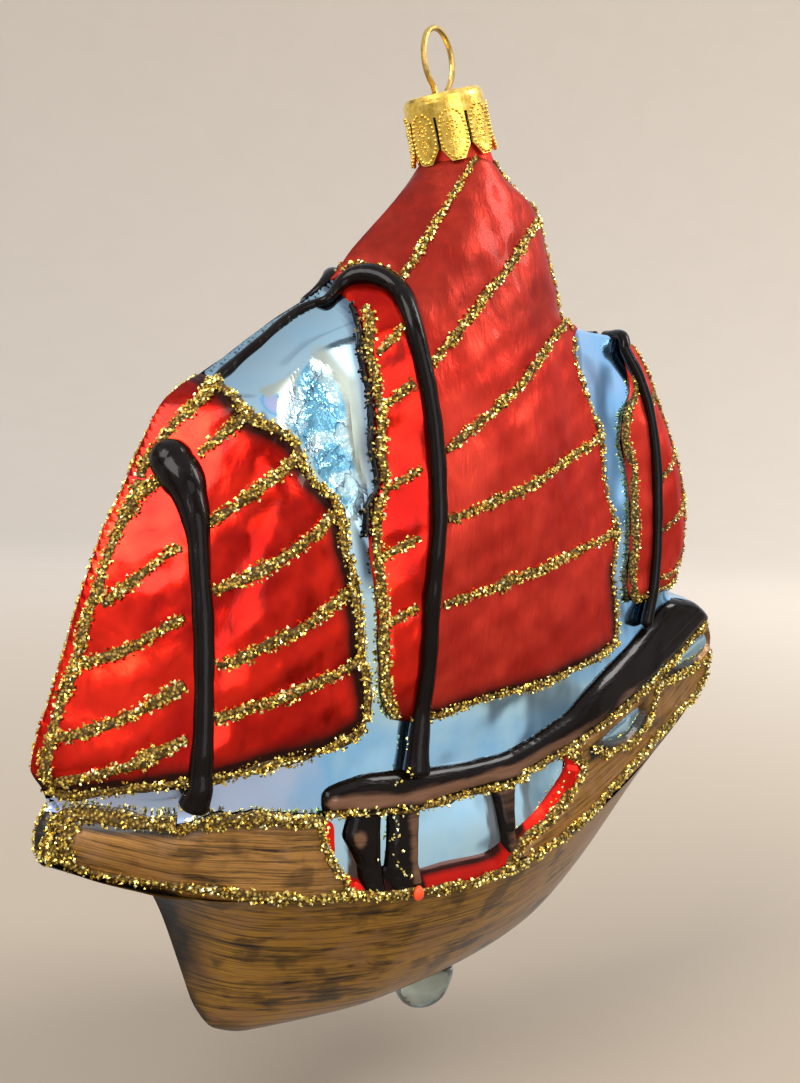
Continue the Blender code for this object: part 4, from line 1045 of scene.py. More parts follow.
def hull_skin():
    """The ship below the gunwale, one row of points for each station."""
    columns, rows = 210, 40
    bpy.ops.object.select_all(action="DESELECT")
    bpy.ops.mesh.primitive_grid_add(x_subdivisions=columns, y_subdivisions=rows, size=1.0)
    made = bpy.context.object
    made.name = made.data.name = "hull_skin"
    co = np.zeros(len(made.data.vertices) * 3)
    made.data.vertices.foreach_get("co", co)
    u, v = co.reshape(-1, 3)[:, 0] + 0.5, co.reshape(-1, 3)[:, 1] + 0.5
    table = HULL[::-1]
    x = table[0, 0] + (table[-1, 0] - table[0, 0]) * (0.5 - 0.5 * np.cos(math.pi * u)) * 0.4 \
        + (table[-1, 0] - table[0, 0]) * u * 0.6
    keel, gunwale, beam, power = read(table[:, 0], table[:, 1:], x).T
    t = v ** 1.6
    y = beam * t ** power
    inner = np.clip(gunwale - keel, 0.2, None)
    # round the keel: near it the section leaves the centre line flat
    z = keel + inner * np.sqrt(t * t + 0.0004) / math.sqrt(1.0004)
    made_y = np.where(v <= 0, 0.0, y)
    put_down(made, np.stack([x, made_y, z], 1))
    number(made, "along", x)
    number(made, "rise", (gunwale - z) / 2.3)
    stem = read([-62, 26, 33, 38, 43, 58], [0.0, 0.0, 0.35, 0.95, 1.0, 0.8], x)
    sole = np.clip(1 - (z - keel) / 3.2, 0, 1) * np.clip((x + 30) / 60, 0, 1)
    edge = np.clip(1 - (gunwale - z) / 1.6, 0, 1) * 0.75
    number(made, "shade", np.clip(np.maximum(np.maximum(
        stem * np.clip(1.25 - y / 9.0, 0, 1), sole), edge), 0, 1))
    bpy.ops.object.mode_set(mode="EDIT")
    bpy.ops.mesh.select_all(action="SELECT")
    bpy.ops.mesh.remove_doubles(threshold=0.00001)
    bpy.ops.object.mode_set(mode="OBJECT")
    both_sides(made)
    bpy.ops.object.mode_set(mode="EDIT")
    bpy.ops.mesh.select_all(action="SELECT")
    bpy.ops.mesh.normals_make_consistent(inside=False)
    bpy.ops.object.mode_set(mode="OBJECT")
    return made


hull = hull_skin()
ways = np.zeros(len(hull.data.polygons) * 3)
hull.data.polygons.foreach_get("normal", ways)
centres = np.zeros(len(hull.data.polygons) * 3)
hull.data.polygons.foreach_get("center", centres)
if np.sum(ways.reshape(-1, 3)[:, 1] * np.sign(centres.reshape(-1, 3)[:, 1])) < 0:
    only(hull)
    bpy.ops.object.mode_set(mode="EDIT")
    bpy.ops.mesh.select_all(action="SELECT")
    bpy.ops.mesh.flip_normals()
    bpy.ops.object.mode_set(mode="OBJECT")
dress(hull, hull_paint, "wood_brown", "hull")

# %% [markdown]
# ## Masts
# A mast is a bar of enamel that runs up the sail and over the ridge to the other side. A curve
# with a round bevel is how a bar is made by hand: the points are laid on the mould, each with its
# own thickness, and the curve is then turned into a mesh.

# %% Bars along the mould


def sail_surface(x, z):
    return swell(x, z, 0.0)


def on_mould(line, lift, step=1.4, foot=0.0):
    """A line of x, z and radius, seen from the side, laid on the mould and lifted off it."""
    x, z, radius = even(line, step).T
    stand = 0.65 * np.clip((foot + 1.7 - z) / 1.5, 0, 1)
    return np.stack([x, sail_surface(x, z) + lift + stand, z, radius], 1)


def bar(name, path, ends=(0.5, 0.5)):
    """A round bar of enamel along x, y, z and radius: a bevelled curve, made a mesh."""
    bpy.ops.object.select_all(action="DESELECT")
    bpy.ops.curve.primitive_nurbs_path_add()
    made = bpy.context.object
    made.name = name
    made.data.splines.clear()
    spline = made.data.splines.new("POLY")
    path = even(path, 0.4)
    spline.points.add(len(path) - 1)
    far = np.arange(len(path)) * 0.4
    radius = path[:, 3]
    tip = np.minimum(far / ends[0], (far[-1] - far) / ends[1]) / radius
    uneven = 1 + 0.04 * np.sin(far * 0.35) + 0.03 * np.sin(far * 1.1 + 1)
    thick = radius * uneven * np.sqrt(1 - (1 - np.clip(tip, 0.02, 1)) ** 2)
    for point, co, r in zip(spline.points, (path[:, :3] - HOOK) * MM, thick):
        point.co, point.radius = (*co, 1.0), r
    made.data.dimensions = "3D"
    made.data.bevel_depth = MM
    made.data.bevel_resolution = 5
    made.data.use_fill_caps = True
    bpy.ops.object.convert(target="MESH")
    made = bpy.context.object
    bpy.ops.object.transform_apply(location=True, rotation=True, scale=True)
    bpy.ops.object.mode_set(mode="EDIT")
    bpy.ops.mesh.select_all(action="SELECT")
    bpy.ops.mesh.remove_doubles(threshold=0.00002)
    bpy.ops.mesh.normals_make_consistent(inside=False)
    bpy.ops.object.mode_set(mode="OBJECT")
    bpy.ops.object.shade_smooth()
    number(made, "crest", np.full(len(made.data.vertices), 0.15))
    made.data.name = name
    return made


MAIN_MAST = [(12.9, 34.4, 1.9), (12.4, 38.6, 1.5), (11.9, 43.0, 1.25), (11.5, 49.2, 1.15),
             (11.6, 56.0, 1.1), (11.3, 62.6, 1.1), (10.9, 70.6, 1.1), (10.8, 78.2, 1.1),
             (11.2, 84.6, 1.15), (11.8, 89.3, 1.2), (12.2, 92.6, 1.25), (12.2, 95.2, 1.35),
             (11.9, 97.4, 1.5), (12.4, 98.8, 1.6), (13.4, 99.5, 1.6), (14.8, 99.4, 1.5),
             (16.1, 98.6, 1.1), (17.6, 97.3, 0.8), (19.2, 96.0, 0.65), (20.3, 95.2, 0.6)]
FORE_MAST = [(44.0, 34.2, 2.0), (43.5, 37.2, 1.5), (43.1, 42.0, 1.3), (42.8, 46.0, 1.25),
             (42.3, 54.8, 1.25), (42.0, 62.0, 1.3), (41.7, 66.0, 1.5), (41.5, 69.0, 1.9),
             (41.6, 71.6, 2.35)]
MIZZEN_MAST = [(-35.4, 50.4, 1.0), (-36.3, 54.6, 0.9), (-37.0, 61.5, 0.85), (-37.2, 69.3, 0.85),
               (-37.4, 77.1, 0.85), (-36.9, 84.9, 0.85), (-35.4, 89.6, 0.9), (-34.2, 91.8, 0.9),
               (-33.7, 93.0, 0.9), (-34.0, 94.2, 0.9)]


def mirrored_bar(name, path, node):
    """A port bar and its twin to starboard in one piece, where they meet over the ridge."""
    made = bar(name, path)
    only(made)
    bpy.ops.object.modifier_add(type="MIRROR")
    made.modifiers[-1].use_axis = (False, True, False)
    made.modifiers[-1].use_mirror_merge = False
    bpy.ops.object.modifier_apply(modifier=made.modifiers[-1].name)
    dress(made, mast_enamel, "dark_enamel", *([node] if node else []))


port = on_mould(MAIN_MAST, 0.25)
port[-1, 1] = 0.1
mirrored_bar("main_mast_bar", port, "main_mast")
ridge = np.array([(19.6, 0, 95.6, 0.5), (21.2, 0, 94.9, 0.65), (22.6, 0, 94.1, 0.65),
                  (24.7, 0, 92.7, 0.65), (28.5, 0, 89.8, 0.7), (31.6, 0, 87.4, 0.75),
                  (34.4, 0, 85.3, 0.75), (36.2, 0, 84.0, 0.6)])
ridge[:, 1] = swell(ridge[:, 0], ridge[:, 2], -0.85) - 0.15
mirrored_bar("ridge_line_bar", ridge, None)
port = on_mould(MIZZEN_MAST, 0.2)
port = np.concatenate([port[port[:, 1] > 2.0], [(-36.2, 0.6, 95.2, 0.95)]])
mirrored_bar("mizzen_mast_bar", port, "mizzen_mast")
port = np.concatenate([on_mould(FORE_MAST, 0.2, foot=36.9),
                       [(42.2, 4.0, 74.4, 2.75), (43.2, 2.9, 77.0, 2.7)]])
fore_bar = bar("fore_mast_bar_port", port, ends=(0.5, 0.95))
dress(fore_bar, mast_enamel, "dark_enamel", "fore_mast_port")
calm = port * (1, -1, 1, 1)
calm[:, 3] = np.minimum(calm[:, 3], np.interp(calm[:, 2], [60, 70, 76], [9.0, 1.2, 0.8]))
calm[:, 1] += 2.0 * np.clip((calm[:, 2] - 66) / 8, 0, 1)
fore_bar = bar("fore_mast_bar_starboard", calm)
dress(fore_bar, mast_enamel, "dark_enamel", "fore_mast_starboard")

# %% [markdown]
# ## Piped glitter
# Glue is piped along every outline and batten and dusted with coarse gold glitter. A bead of glue
# is a ribbon with a rounded back. One grain is modelled, a small flake with eight faces, and then
# scattered over the bead thousands of times, each turned and sized by a seeded chance. Copying by
# hand would take one command for each grain, so the copies are joined as arrays.

# %% One grain, and how a line is piped
bpy.ops.object.select_all(action="DESELECT")
bpy.ops.mesh.primitive_cone_add(vertices=4, radius1=0.5, radius2=0.0, depth=0.5,
                                end_fill_type="NOTHING")
flake = bpy.context.object
bpy.ops.transform.translate(value=(0, 0, 0.25))
bpy.ops.object.transform_apply(location=True)
bpy.ops.object.modifier_add(type="MIRROR")
flake.modifiers[-1].use_axis = (False, False, True)
bpy.ops.object.modifier_apply(modifier=flake.modifiers[-1].name)
flake_points = np.array([v.co for v in flake.data.vertices]) * (1.0, 0.85, 0.55)
flake_faces = np.array([list(p.vertices) for p in flake.data.polygons])
bpy.data.objects.remove(flake)


def frame_along(path, surface):
    """Points of a line on the mould, with the way across it and the way out of it."""
    x, z = path.T
    y = surface(x, z)
    e = 0.15
    slope_x = (surface(x + e, z) - surface(x - e, z)) / (2 * e)
    slope_z = (surface(x, z + e) - surface(x, z - e)) / (2 * e)
    steep = np.clip(np.hypot(slope_x, slope_z), 1e-6, None)
    limit = np.minimum(steep, 2.2) / steep
    out = np.stack([-slope_x * limit, np.ones_like(x), -slope_z * limit], 1)
    out /= np.linalg.norm(out, axis=1)[:, None]
    here = np.stack([x, y, z], 1)
    way = np.gradient(here, axis=0)
    way /= np.linalg.norm(way, axis=1)[:, None]
    across = np.cross(way, out)
    across /= np.linalg.norm(across, axis=1)[:, None]
    return here, across, out


def add_mesh(name, points, faces, numbers=None):
    mesh = bpy.data.meshes.new(name)
    mesh.from_pydata(((points - HOOK) * MM).tolist(), [], faces.tolist())
    made = bpy.data.objects.new(name, mesh)
    scene.collection.objects.link(made)
    for key, value in (numbers or {}).items():
        number(made, key, value)
    return made


def pipe(name, lines, surface=sail_surface, seed=1, grain_size=0.56, density=5.5, rise=0.38,
         material=gold_glitter):
    """Beads of glue along lines of (points, width), and the glitter on them."""
    chance = np.random.default_rng(seed)
    bead_points, bead_faces, grain_points, grain_luck = [], [], [], []
    total = 0
    for line, width in lines:
        path = even(line, 0.5)
        fore, aft = seam(path[:, 1])
        path = path[(path[:, 0] < fore - 0.3) & (path[:, 0] > aft + 0.3)]
        count = len(path)
        wander = np.convolve(chance.normal(0, 1, count + 8), np.ones(9) / 3.0, "valid")
        here, across, out = frame_along(path, surface)
        here = here + across * (wander * 0.10)[:, None]
        broad = width * (1 + 0.16 * np.convolve(chance.normal(0, 1, count + 4), np.ones(5) / 2.2,
                                               "valid"))
        broad[:2] *= 0.75
        broad[-2:] *= 0.75
        side = np.linspace(-1, 1, 7)
        arch = rise * np.sqrt(np.clip(1 - side ** 2, 0, 1)) - 0.16 - 0.5 * side ** 6
        bead = (here[:, None] + across[:, None] * (side[None, :, None] * broad[:, None, None] / 2)
                + out[:, None] * arch[None, :, None]).reshape(-1, 3)
        bead[:, 1] = np.maximum(bead[:, 1], 0.0)
        start = total
        total += len(bead)
        a = (np.arange(count - 1)[:, None] * 7 + np.arange(6)[None, :]).ravel() + start
        bead_points.append(bead)
        bead_faces.append(np.stack([a, a + 1, a + 8, a + 7], 1))
        number_of = int(count * 0.5 * width * density)
        s = chance.uniform(0, count - 1.001, number_of)
        k = s.astype(int)
        f = (s - k)[:, None]
        o = chance.uniform(-1, 1, number_of)
        o = np.sign(o) * np.abs(o) ** 0.85
        spread = (broad[k] / 2 + 0.12)[:, None]
        spot = here[k] * (1 - f) + here[k + 1] * f + across[k] * o[:, None] * spread \
            + out[k] * (rise * np.sqrt(np.clip(1 - o ** 2, 0, 1)) - 0.10
                        + chance.uniform(-0.05, 0.16, number_of))[:, None]
        grain_points.append(spot)
        grain_luck.append(chance.uniform(0, 1, number_of))
    spots = np.concatenate(grain_points)
    luck = np.concatenate(grain_luck)
    grains = scatter(name, spots, luck, chance, grain_size)
    finish_glitter(grains, material)
    glue = add_mesh(name + "_glue", np.concatenate(bead_points), np.concatenate(bead_faces))
    finish_glitter(glue, glitter_glue if material is gold_glitter else dark_glitter)
    return grains


def scatter(name, spots, luck, chance, size):
    """A grain at each spot, turned and sized by chance, as one piece."""
    count = len(spots)
    turns = chance.normal(0, 1, (count, 4))
    turns /= np.linalg.norm(turns, axis=1)[:, None]
    w, x, y, z = turns.T
    spin = np.stack([1 - 2 * (y * y + z * z), 2 * (x * y - w * z), 2 * (x * z + w * y),
                     2 * (x * y + w * z), 1 - 2 * (x * x + z * z), 2 * (y * z - w * x),
                     2 * (x * z - w * y), 2 * (y * z + w * x), 1 - 2 * (x * x + y * y)],
                    1).reshape(-1, 3, 3)
    sizes = size * chance.uniform(0.65, 1.35, count)
    points = np.einsum("nij,pj->npi", spin, flake_points) * sizes[:, None, None] + spots[:, None]
    faces = flake_faces[None] + (np.arange(count) * len(flake_points))[:, None, None]
    return add_mesh(name, points.reshape(-1, 3), faces.reshape(-1, 3),
                    {"luck": np.repeat(luck, len(flake_points))})


def finish_glitter(obj, material):
    only(obj)
    bpy.ops.object.modifier_add(type="MIRROR")
    mirror = obj.modifiers[-1]
    mirror.use_axis = (False, True, False)
    mirror.use_mirror_merge = False
    bpy.ops.object.modifier_apply(modifier=mirror.name)
    if obj.name.endswith("_glue"):
        bpy.ops.object.shade_smooth()
    dress(obj, material, "gold_metal")


# %% Glitter on the sails


def seam_line(low, high, inset, which, step=1.5):
    """A line that keeps just inside the seam, between two levels."""
    z = np.arange(low, high + step / 2, step)
    fore, aft = seam(z)
    return np.stack([fore - inset if which == "fore" else aft + inset, z], 1)


fore_lines = [(seam_line(36.2, 72.0, 1.1, "fore"), 1.8),
              ([(45.2, 72.5), (44.4, 74.4), (42.6, 76.9), (40.9, 79.6), (39.0, 81.8), (37.0, 83.9),
                (35.1, 85.0)], 1.6),
              (beside(FORE_FOOT[1:], 0.9), 1.7), (beside(FORE_LEECH[:-1], 0.8), 1.8)]
fore_lines += [(line, 1.75) for line in FORE_BATTENS]
pipe("foresail_glitter", fore_lines, seed=11)
MAIN_TOP_LEECH = [(-19.0, 94.5), (-18.8, 97.0), (-18.2, 100.0), (-17.1, 103.0), (-16.3, 106.0),
                  (-15.9, 109.0), (-14.6, 112.0), (-10.2, 115.0), (-7.2, 117.4)]
main_lines = [(beside(MAIN_LUFF[:-1], -0.7), 1.5), (beside(MAIN_FOOT[1:], 0.7), 1.3),
              (beside(MAIN_LEECH[:-3], 0.7), 1.2), (MAIN_TOP_LEECH, 1.2)]
main_lines += [(line, 1.4) for line in MAIN_BATTENS]
main_lines += [([(15.6, 100.3), (14.2, 101.2), (12.6, 101.2), (11.2, 100.2), (10.6, 98.8)], 0.8)]
pipe("mainsail_glitter", main_lines, seed=12)
MIZZEN_LEECH = [(-45.4, 57.6), (-45.8, 60.0), (-46.5, 66.0), (-46.3, 70.0), (-45.1, 75.0),
                (-43.3, 80.0), (-41.4, 85.0), (-39.5, 90.0), (-37.0, 94.0)]
mizzen_lines = [(beside(MIZZEN_LUFF[2:], 0.6), 1.1), (beside(MIZZEN_FOOT[:-1], 0.6), 1.1),
                (MIZZEN_LEECH, 0.9)]
mizzen_lines += [(line, 1.0) for line in MIZZEN_BATTENS]
pipe("mizzen_glitter", mizzen_lines, seed=13, grain_size=0.42)
pipe("luff_dark_specks", [(beside(MAIN_LUFF[4:-1], 0.45), 0.8)], seed=14, rise=0.25,
     material=dark_glitter)

# %% Glitter on the ship
WINDOW_RIMS = [[(-20.4, 34.0), (-23.5, 32.9), (-27.6, 32.9), (-32.0, 33.8), (-35.6, 36.2),
                (-37.6, 39.0), (-38.8, 41.2)],
               [(-38.0, 40.2), (-42.4, 41.4), (-49.9, 41.9), (-54.2, 42.8), (-57.4, 44.4)]]
GUNWALE_BEAD = [(56.2, 30.2), (55.9, 28.2), (54.8, 26.9), (53.3, 26.2), (50.2, 25.5), (45.7, 25.0),
                (40.2, 24.1), (33.6, 22.5), (22.6, 20.8), (15.3, 20.1), (6.4, 19.6), (-2.6, 20.1),
                (-10.3, 21.6), (-16.0, 23.1), (-21.4, 25.3), (-25.5, 27.2), (-35.9, 32.2),
                (-44.4, 35.1), (-53.0, 38.6), (-55.4, 41.0), (-55.8, 43.6)]
ship_lines = [(GUNWALE_BEAD, 1.3),
              ([(45.2, 32.5), (47.6, 32.5), (50.4, 32.6), (53.6, 32.6), (55.0, 32.2), (56.0, 31.0),
                (56.5, 29.4), (56.4, 27.6), (55.8, 26.4)], 2.0),
              ([(53.8, 31.6), (54.8, 30.2), (54.9, 28.6), (54.2, 27.2)], 1.9),
              (beside(CASTLE_TOP[3:], -0.5), 1.8), (beside(CASTLE_AFT, -0.3), 1.2),
              (beside(RAIL_LOW[:-1], 0.1), 1.15), (beside(WAIST_AFT, -0.7), 1.3)]
ship_lines += [(rim_line, 1.1) for rim_line in WINDOW_RIMS]
pipe("ship_glitter", ship_lines, surface=lambda x, z: swell(x, z, 0.15), seed=15)

# %% [markdown]
# ## Pip, collar, cap and loop
# Where the bubble was sealed there is a clear glass pip under the keel. The neck leaves the sail's
# peak through a red collar and takes the stamped cap, whose petals are edged with beads. The loop
# is springy wire. These are turned and bevelled shapes.

# %% Clear pip under the keel
bpy.ops.object.select_all(action="DESELECT")
bpy.ops.mesh.primitive_uv_sphere_add(segments=48, ring_count=24, radius=1.0)
pip_piece = bpy.context.object
pip_piece.name = pip_piece.data.name = "clear_pip"
ball = np.array([v.co for v in pip_piece.data.vertices])
lumps = 1 + 0.06 * np.sin(ball[:, 0] * 4 + 1) * np.cos(ball[:, 1] * 3) + 0.05 * np.sin(ball[:, 2] * 5)
top = np.clip(ball[:, 2], None, 0.35)
put_down(pip_piece, np.stack([-4.0 + 4.9 * ball[:, 0] * lumps, 4.1 * ball[:, 1] * lumps,
                              -2.2 + 4.75 * top], 1))
only(pip_piece)
bpy.ops.object.shade_smooth()
dress(pip_piece, clear_glass, "clear_tip", "glass_tip")

# %% Collar under the cap
CAP_TOP = Vector((-0.9, 0.0, 126.5))
CAP_LEAN = math.radians(19.0)
stand = Matrix.Translation((CAP_TOP - Vector(HOOK)) * MM) @ Matrix.Rotation(CAP_LEAN, 4, "Y")


def turned(name, profile, segments=96):
    """A profile of radius and height, spun round the neck's axis."""
    bpy.ops.object.select_all(action="DESELECT")
    bpy.ops.mesh.primitive_circle_add(vertices=segments, radius=1.0)
    made = bpy.context.object
    made.name = made.data.name = name
    bpy.ops.object.mode_set(mode="EDIT")
    bpy.ops.mesh.select_mode(type="VERT")
    bpy.ops.mesh.select_all(action="SELECT")
    for _ in profile[1:]:
        bpy.ops.mesh.extrude_region()
    bpy.ops.object.mode_set(mode="OBJECT")
    for vertex in made.data.vertices:
        ring = min(vertex.index // segments, len(profile) - 1)
        radius, height = profile[ring]
        flat = Vector((vertex.co.x, vertex.co.y)).normalized() * radius * MM
        vertex.co = stand @ Vector((flat.x, flat.y, height * MM))
    bpy.ops.object.mode_set(mode="EDIT")
    bpy.ops.mesh.select_all(action="SELECT")
    bpy.ops.mesh.remove_doubles(threshold=0.000001)
    bpy.ops.mesh.normals_make_consistent(inside=False)
    bpy.ops.object.mode_set(mode="OBJECT")
    bpy.ops.object.shade_smooth()
    return made


collar = turned("red_collar", [(5.02, -7.6), (5.06, -8.4), (5.25, -9.8), (5.5, -11.0), (5.6, -12.6),
                               (5.0, -13.4)])
number(collar, "shade", np.zeros(len(collar.data.vertices)))
dress(collar, red_satin, "red_satin")

# %% Cap and loop
for name, material in (("cap", gold_metal), ("wire_hanger", gold_wire), ("neck", silver.material)):
    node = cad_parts[name]
    node.data.materials.clear()
    node.data.materials.append(material)

# %% [markdown]
# ## The stamping on the cap
# Each petal of the cap is stamped with a border of beads, a ring and a lozenge. One bead is a low
# dome, modelled once. Its copies are laid on the petal at their angle and depth, and ride with the
# cap when it is pulled.

# %% Beads on the petals
bpy.ops.object.select_all(action="DESELECT")
bpy.ops.mesh.primitive_uv_sphere_add(segments=8, ring_count=6, radius=1.0)
bead_piece = bpy.context.object
bpy.ops.object.mode_set(mode="EDIT")
bpy.ops.mesh.select_all(action="SELECT")
bpy.ops.mesh.quads_convert_to_tris()
bpy.ops.object.mode_set(mode="OBJECT")
bead_points = np.array([v.co for v in bead_piece.data.vertices])
bead_faces = np.array([list(p.vertices) for p in bead_piece.data.polygons])
bpy.data.objects.remove(bead_piece)
PETALS, FIRST_PETAL = 8, 0.20           # petals, and the middle of the first one in petal widths
BORDER = [(-0.55, -2.5), (-1.35, -3.2), (-1.68, -4.2), (-1.72, -7.2), (-1.15, -8.2), (-0.35, -8.85),
          (0.35, -8.85), (1.15, -8.2), (1.72, -7.2), (1.68, -4.2), (1.35, -3.2), (0.55, -2.5)]
circle = np.linspace(0, math.tau, 11)[:-1]
stamping = [(x, z, 0.25) for x, z in even(BORDER, 0.56)]
stamping += [(0.66 * math.cos(a), -4.6 + 0.66 * math.sin(a), 0.17) for a in circle]
stamping += [(0.0, -4.6, 0.24)]
stamping += [(x, z, 0.13) for x, z in even([(0, -5.75), (0.72, -6.75), (0, -7.75), (-0.72, -6.75),
                                            (0, -5.75)], 0.34, soft=False)]
stamping += [(0.0, -6.75, 0.22), (-0.95, -5.65, 0.18), (0.95, -5.65, 0.18), (-1.0, -3.8, 0.15),
             (1.0, -3.8, 0.15), (0.0, -3.3, 0.2)]
stamped = []
for petal in range(PETALS):
    for across, depth, size in stamping:
        wall = np.interp(-depth, [1.2, 2.2, 4.6, 7.0, 9.2], [5.70, 5.74, 5.80, 5.90, 6.08])
        angle = math.tau * (petal + FIRST_PETAL) / PETALS + across / wall
        out = Vector((math.cos(angle), math.sin(angle), 0))
        way = Matrix((out.cross(Vector((0, 0, -1))), Vector((0, 0, 1)), out)).transposed().to_4x4()
        lay = stand @ Matrix.Translation((out * wall + Vector((0, 0, depth))) * MM) @ way
        stamped.append(np.array([lay @ Vector(co * size * MM) for co in bead_points]))
stamped = np.array(stamped)
faces = bead_faces[None] + (np.arange(len(stamped)) * len(bead_points))[:, None, None]
cap_beads = add_mesh("cap_stamped_beads", stamped.reshape(-1, 3) / MM + HOOK, faces.reshape(-1, 3))
only(cap_beads)
bpy.ops.object.mode_set(mode="EDIT")
bpy.ops.mesh.select_all(action="SELECT")
bpy.ops.mesh.normals_make_consistent(inside=False)
bpy.ops.object.mode_set(mode="OBJECT")
bpy.ops.object.shade_smooth()
cap_beads.data.materials.append(gold_metal)
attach(cap_beads, "hanger")
print("beads on the cap:", len(stamped))

# %% [markdown]
# ## Loose grains and a drip
# Glitter never stays where it was piped. A few grains stuck to the wet enamel of the masts' feet
# and to the deck, and one orange drop of lacquer dried on the gunwale.

# %% Loose grains
LOOSE = [       # x, z and how far off the mould
    (14.1, 38.3, 0.1), (14.0, 37.0, 0.0), (14.4, 35.8, 0.6), (14.4, 36.1, 1.0), (14.3, 35.4, 1.3),
    (14.4, 35.6, 0.8), (14.0, 39.7, 0.0), (14.0, 39.0, 0.2), (14.4, 35.0, 1.3), (16.2, 34.5, 0.6),
    (15.4, 34.5, 0.6), (16.5, 34.2, 0.6), (45.6, 38.4, 0.6), (45.8, 37.0, 0.6), (46.0, 35.8, 1.0),
    (45.7, 35.0, 1.4), (45.2, 36.4, 1.3), (45.4, 34.6, 1.6), (44.8, 35.4, 1.9), (45.0, 37.6, 1.2),
    (-15.8, 31.2, -0.3), (-14.6, 30.1, -0.3), (-14.2, 29.4, -0.3), (-13.3, 28.8, -0.3),
    (-12.7, 28.0, -0.3), (-11.6, 27.7, -0.3), (-11.8, 27.0, -0.2), (-11.2, 26.9, -0.2),
    (-10.3, 26.2, -0.2), (-8.7, 25.6, -0.2), (-10.2, 25.3, -0.1), (-7.3, 24.9, -0.2),
    (-9.0, 24.5, -0.1), (-6.8, 22.1, 0.0), (-13.0, 27.0, -0.1), (16.4, 29.9, -0.2), (16.0, 29.4, -0.2),
    (15.8, 28.9, -0.1), (16.0, 28.3, -0.1), (16.4, 27.7, -0.3), (15.8, 27.5, -0.1), (16.6, 27.1, -0.4),
    (16.4, 27.3, -0.3), (15.4, 25.5, 0.0), (16.6, 25.1, -0.4), (16.1, 24.2, -0.1), (16.2, 23.7, -0.1),
    (15.7, 23.3, 0.0), (15.4, 22.9, 0.1), (15.2, 22.5, 0.1), (14.9, 22.3, 0.1), (14.3, 21.9, 0.1),
    (14.1, 22.1, 0.1), (19.2, 25.0, 0.0), (16.9, 26.9, -0.6)]
chance = np.random.default_rng(16)
x, z, lift = np.array(LOOSE).T
spots = np.stack([x, swell(x, z, 0.0) + lift + 0.08, z], 1)
loose = scatter("loose_grains", spots, chance.uniform(0.45, 1, len(spots)), chance, 0.52)
finish_glitter(loose, gold_glitter)

# %% Drop of lacquer
bpy.ops.object.select_all(action="DESELECT")
bpy.ops.mesh.primitive_uv_sphere_add(segments=20, ring_count=12, radius=1.0)
drop = bpy.context.object
drop.name = drop.data.name = "lacquer_drop"
ball = np.array([v.co for v in drop.data.vertices])
put_down(drop, np.array((13.2, float(swell(13.2, 19.8, 0.0)) + 0.45, 19.8))
         + ball * np.stack([0.75 - 0.15 * ball[:, 2], np.full(len(ball), 0.62),
                            np.full(len(ball), 1.0)], 1))
only(drop)
bpy.ops.object.shade_smooth()
orange = Finish("orange_lacquer_drop", Roughness=0.3, Specular_IOR_Level=0.3)
mottle = orange.noise(orange.place(), 0.7, 2.0)
orange.put("Base Color", orange.mix(mottle, (0.80, 0.045, 0.010), (0.90, 0.12, 0.03)))
dress(drop, orange.material, "red_gloss")

# %% [markdown]
# ## Floor and light
# The ornament hangs over a pale floor that curves up all round it, so no horizon shows from any
# side. The paper is painted darker towards the middle, a painted shadow under the ornament. One
# large soft light stands high to the left, a weaker one fills from the right, and the pale
# surroundings do the rest: mirror and lacquer mostly show what surrounds them.

# %% Floor
bpy.ops.object.select_all(action="DESELECT")
bpy.ops.mesh.primitive_circle_add(vertices=96, radius=0.9, fill_type="NGON",
                                  location=(0, 0, cad_low.z - 0.012))
floor = bpy.context.object
floor.name = "pale_floor"
bpy.ops.object.mode_set(mode="EDIT")
bpy.ops.mesh.select_all(action="SELECT")
bpy.ops.mesh.inset(thickness=0.001)
bpy.ops.object.mode_set(mode="OBJECT")
bpy.ops.object.transform_apply(location=True)
for vertex in floor.data.vertices:
    vertex.select = math.hypot(vertex.co.x, vertex.co.y) > 0.8995
bpy.ops.object.mode_set(mode="EDIT")
bpy.ops.mesh.select_mode(type="EDGE")
for step in range(14):
    a = math.pi / 2 * (step + 1) / 14
    bpy.ops.mesh.select_all(action="DESELECT")
    bpy.ops.mesh.select_non_manifold()
    bpy.ops.mesh.extrude_region_move(TRANSFORM_OT_translate={"value": (0, 0, 0)})
    grow = (0.9 + 0.9 * math.sin(a)) / (0.9 + 0.9 * math.sin(a - math.pi / 28))
    bpy.ops.transform.resize(value=(grow, grow, 1))
    bpy.ops.transform.translate(value=(0, 0, 0.9 * (math.cos(a - math.pi / 28) - math.cos(a))))
bpy.ops.object.mode_set(mode="OBJECT")
bpy.ops.object.shade_smooth()
paper = Finish("pale_paper_with_painted_shadow", Roughness=0.9)
fibre = paper.noise(paper.place(), 40.0, 2.0)
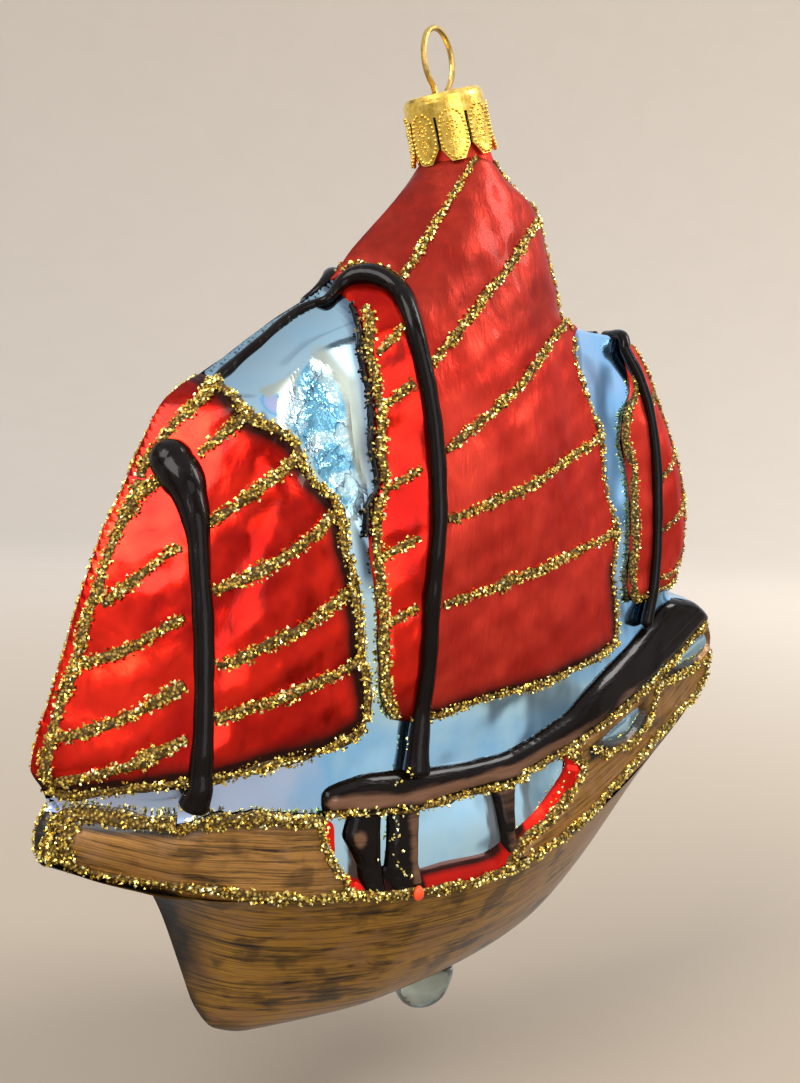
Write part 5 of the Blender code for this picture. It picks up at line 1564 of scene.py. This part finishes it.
away = paper.node("ShaderNodeVectorMath", {"operation": "LENGTH"}, {0: paper.place()}, 1)
far = paper.mix(fibre, (0.560, 0.490, 0.415), (0.585, 0.512, 0.436))
# Painted shadow: darker paper near the middle, under the ornament, paler further out.
paper.put("Base Color", paper.mix(away.between(60.0, 750.0), (0.335, 0.270, 0.205), far))
floor.data.materials.append(paper.material)

# %% Light


def soft_light(name, place, size, watts, colour, aim=(0.0, 0.0, -0.075)):
    """A square panel that faces a point, by default the middle of the ship."""
    bpy.ops.object.light_add(type="AREA", location=place)
    lamp = bpy.context.object
    lamp.name = name
    lamp.data.shape, lamp.data.size = "SQUARE", size
    lamp.data.energy, lamp.data.color = watts, colour
    lamp.rotation_euler = (Vector(aim) - Vector(place)).to_track_quat("-Z", "Y").to_euler()
    return lamp


soft_light("key_high_left", (0.64, 0.10, 0.42), 0.45, 6.0, (1.0, 0.97, 0.93))
soft_light("fill_front", (0.15, 0.75, 0.12), 0.50, 2.0, (0.95, 0.97, 1.0))
soft_light("wash_on_backdrop", (-0.60, 0.40, 0.60), 0.5, 15.0, (1.0, 0.98, 0.95), (-0.85, -0.35, 0.25))
floor.visible_glossy = False
scene.view_settings.view_transform = "Standard"

# %% What the mirrors see
world = bpy.data.worlds.new("room")
scene.world = world
world.use_nodes = True


class Room(Finish):
    """The room round the ornament, painted by direction. It borrows the helpers of a finish."""

    def __init__(self, tree):
        self.tree = tree
        self.shader = tree.nodes["Background"]


room = Room(world.node_tree)
direction = room.node("ShaderNodeTexCoord", {}, {}, 0)
height = room.node("ShaderNodeSeparateXYZ", {}, {0: direction}, 2)
sky = room.ramp(height * 0.5 + 0.5, (0.0, (0.36, 0.34, 0.31)), (0.47, (0.68, 0.67, 0.65)),
                (0.56, (0.80, 0.84, 0.90)), (1.0, (0.90, 0.98, 1.08)))
clutter = room.noise(direction, 0.75, 2.0, 0.5, 0.6)
sky = room.mix(clutter.between(0.52, 0.64) * 0.80, sky, (0.05, 0.05, 0.06))
room.put("Color", sky)
room.put("Strength", 1.0)
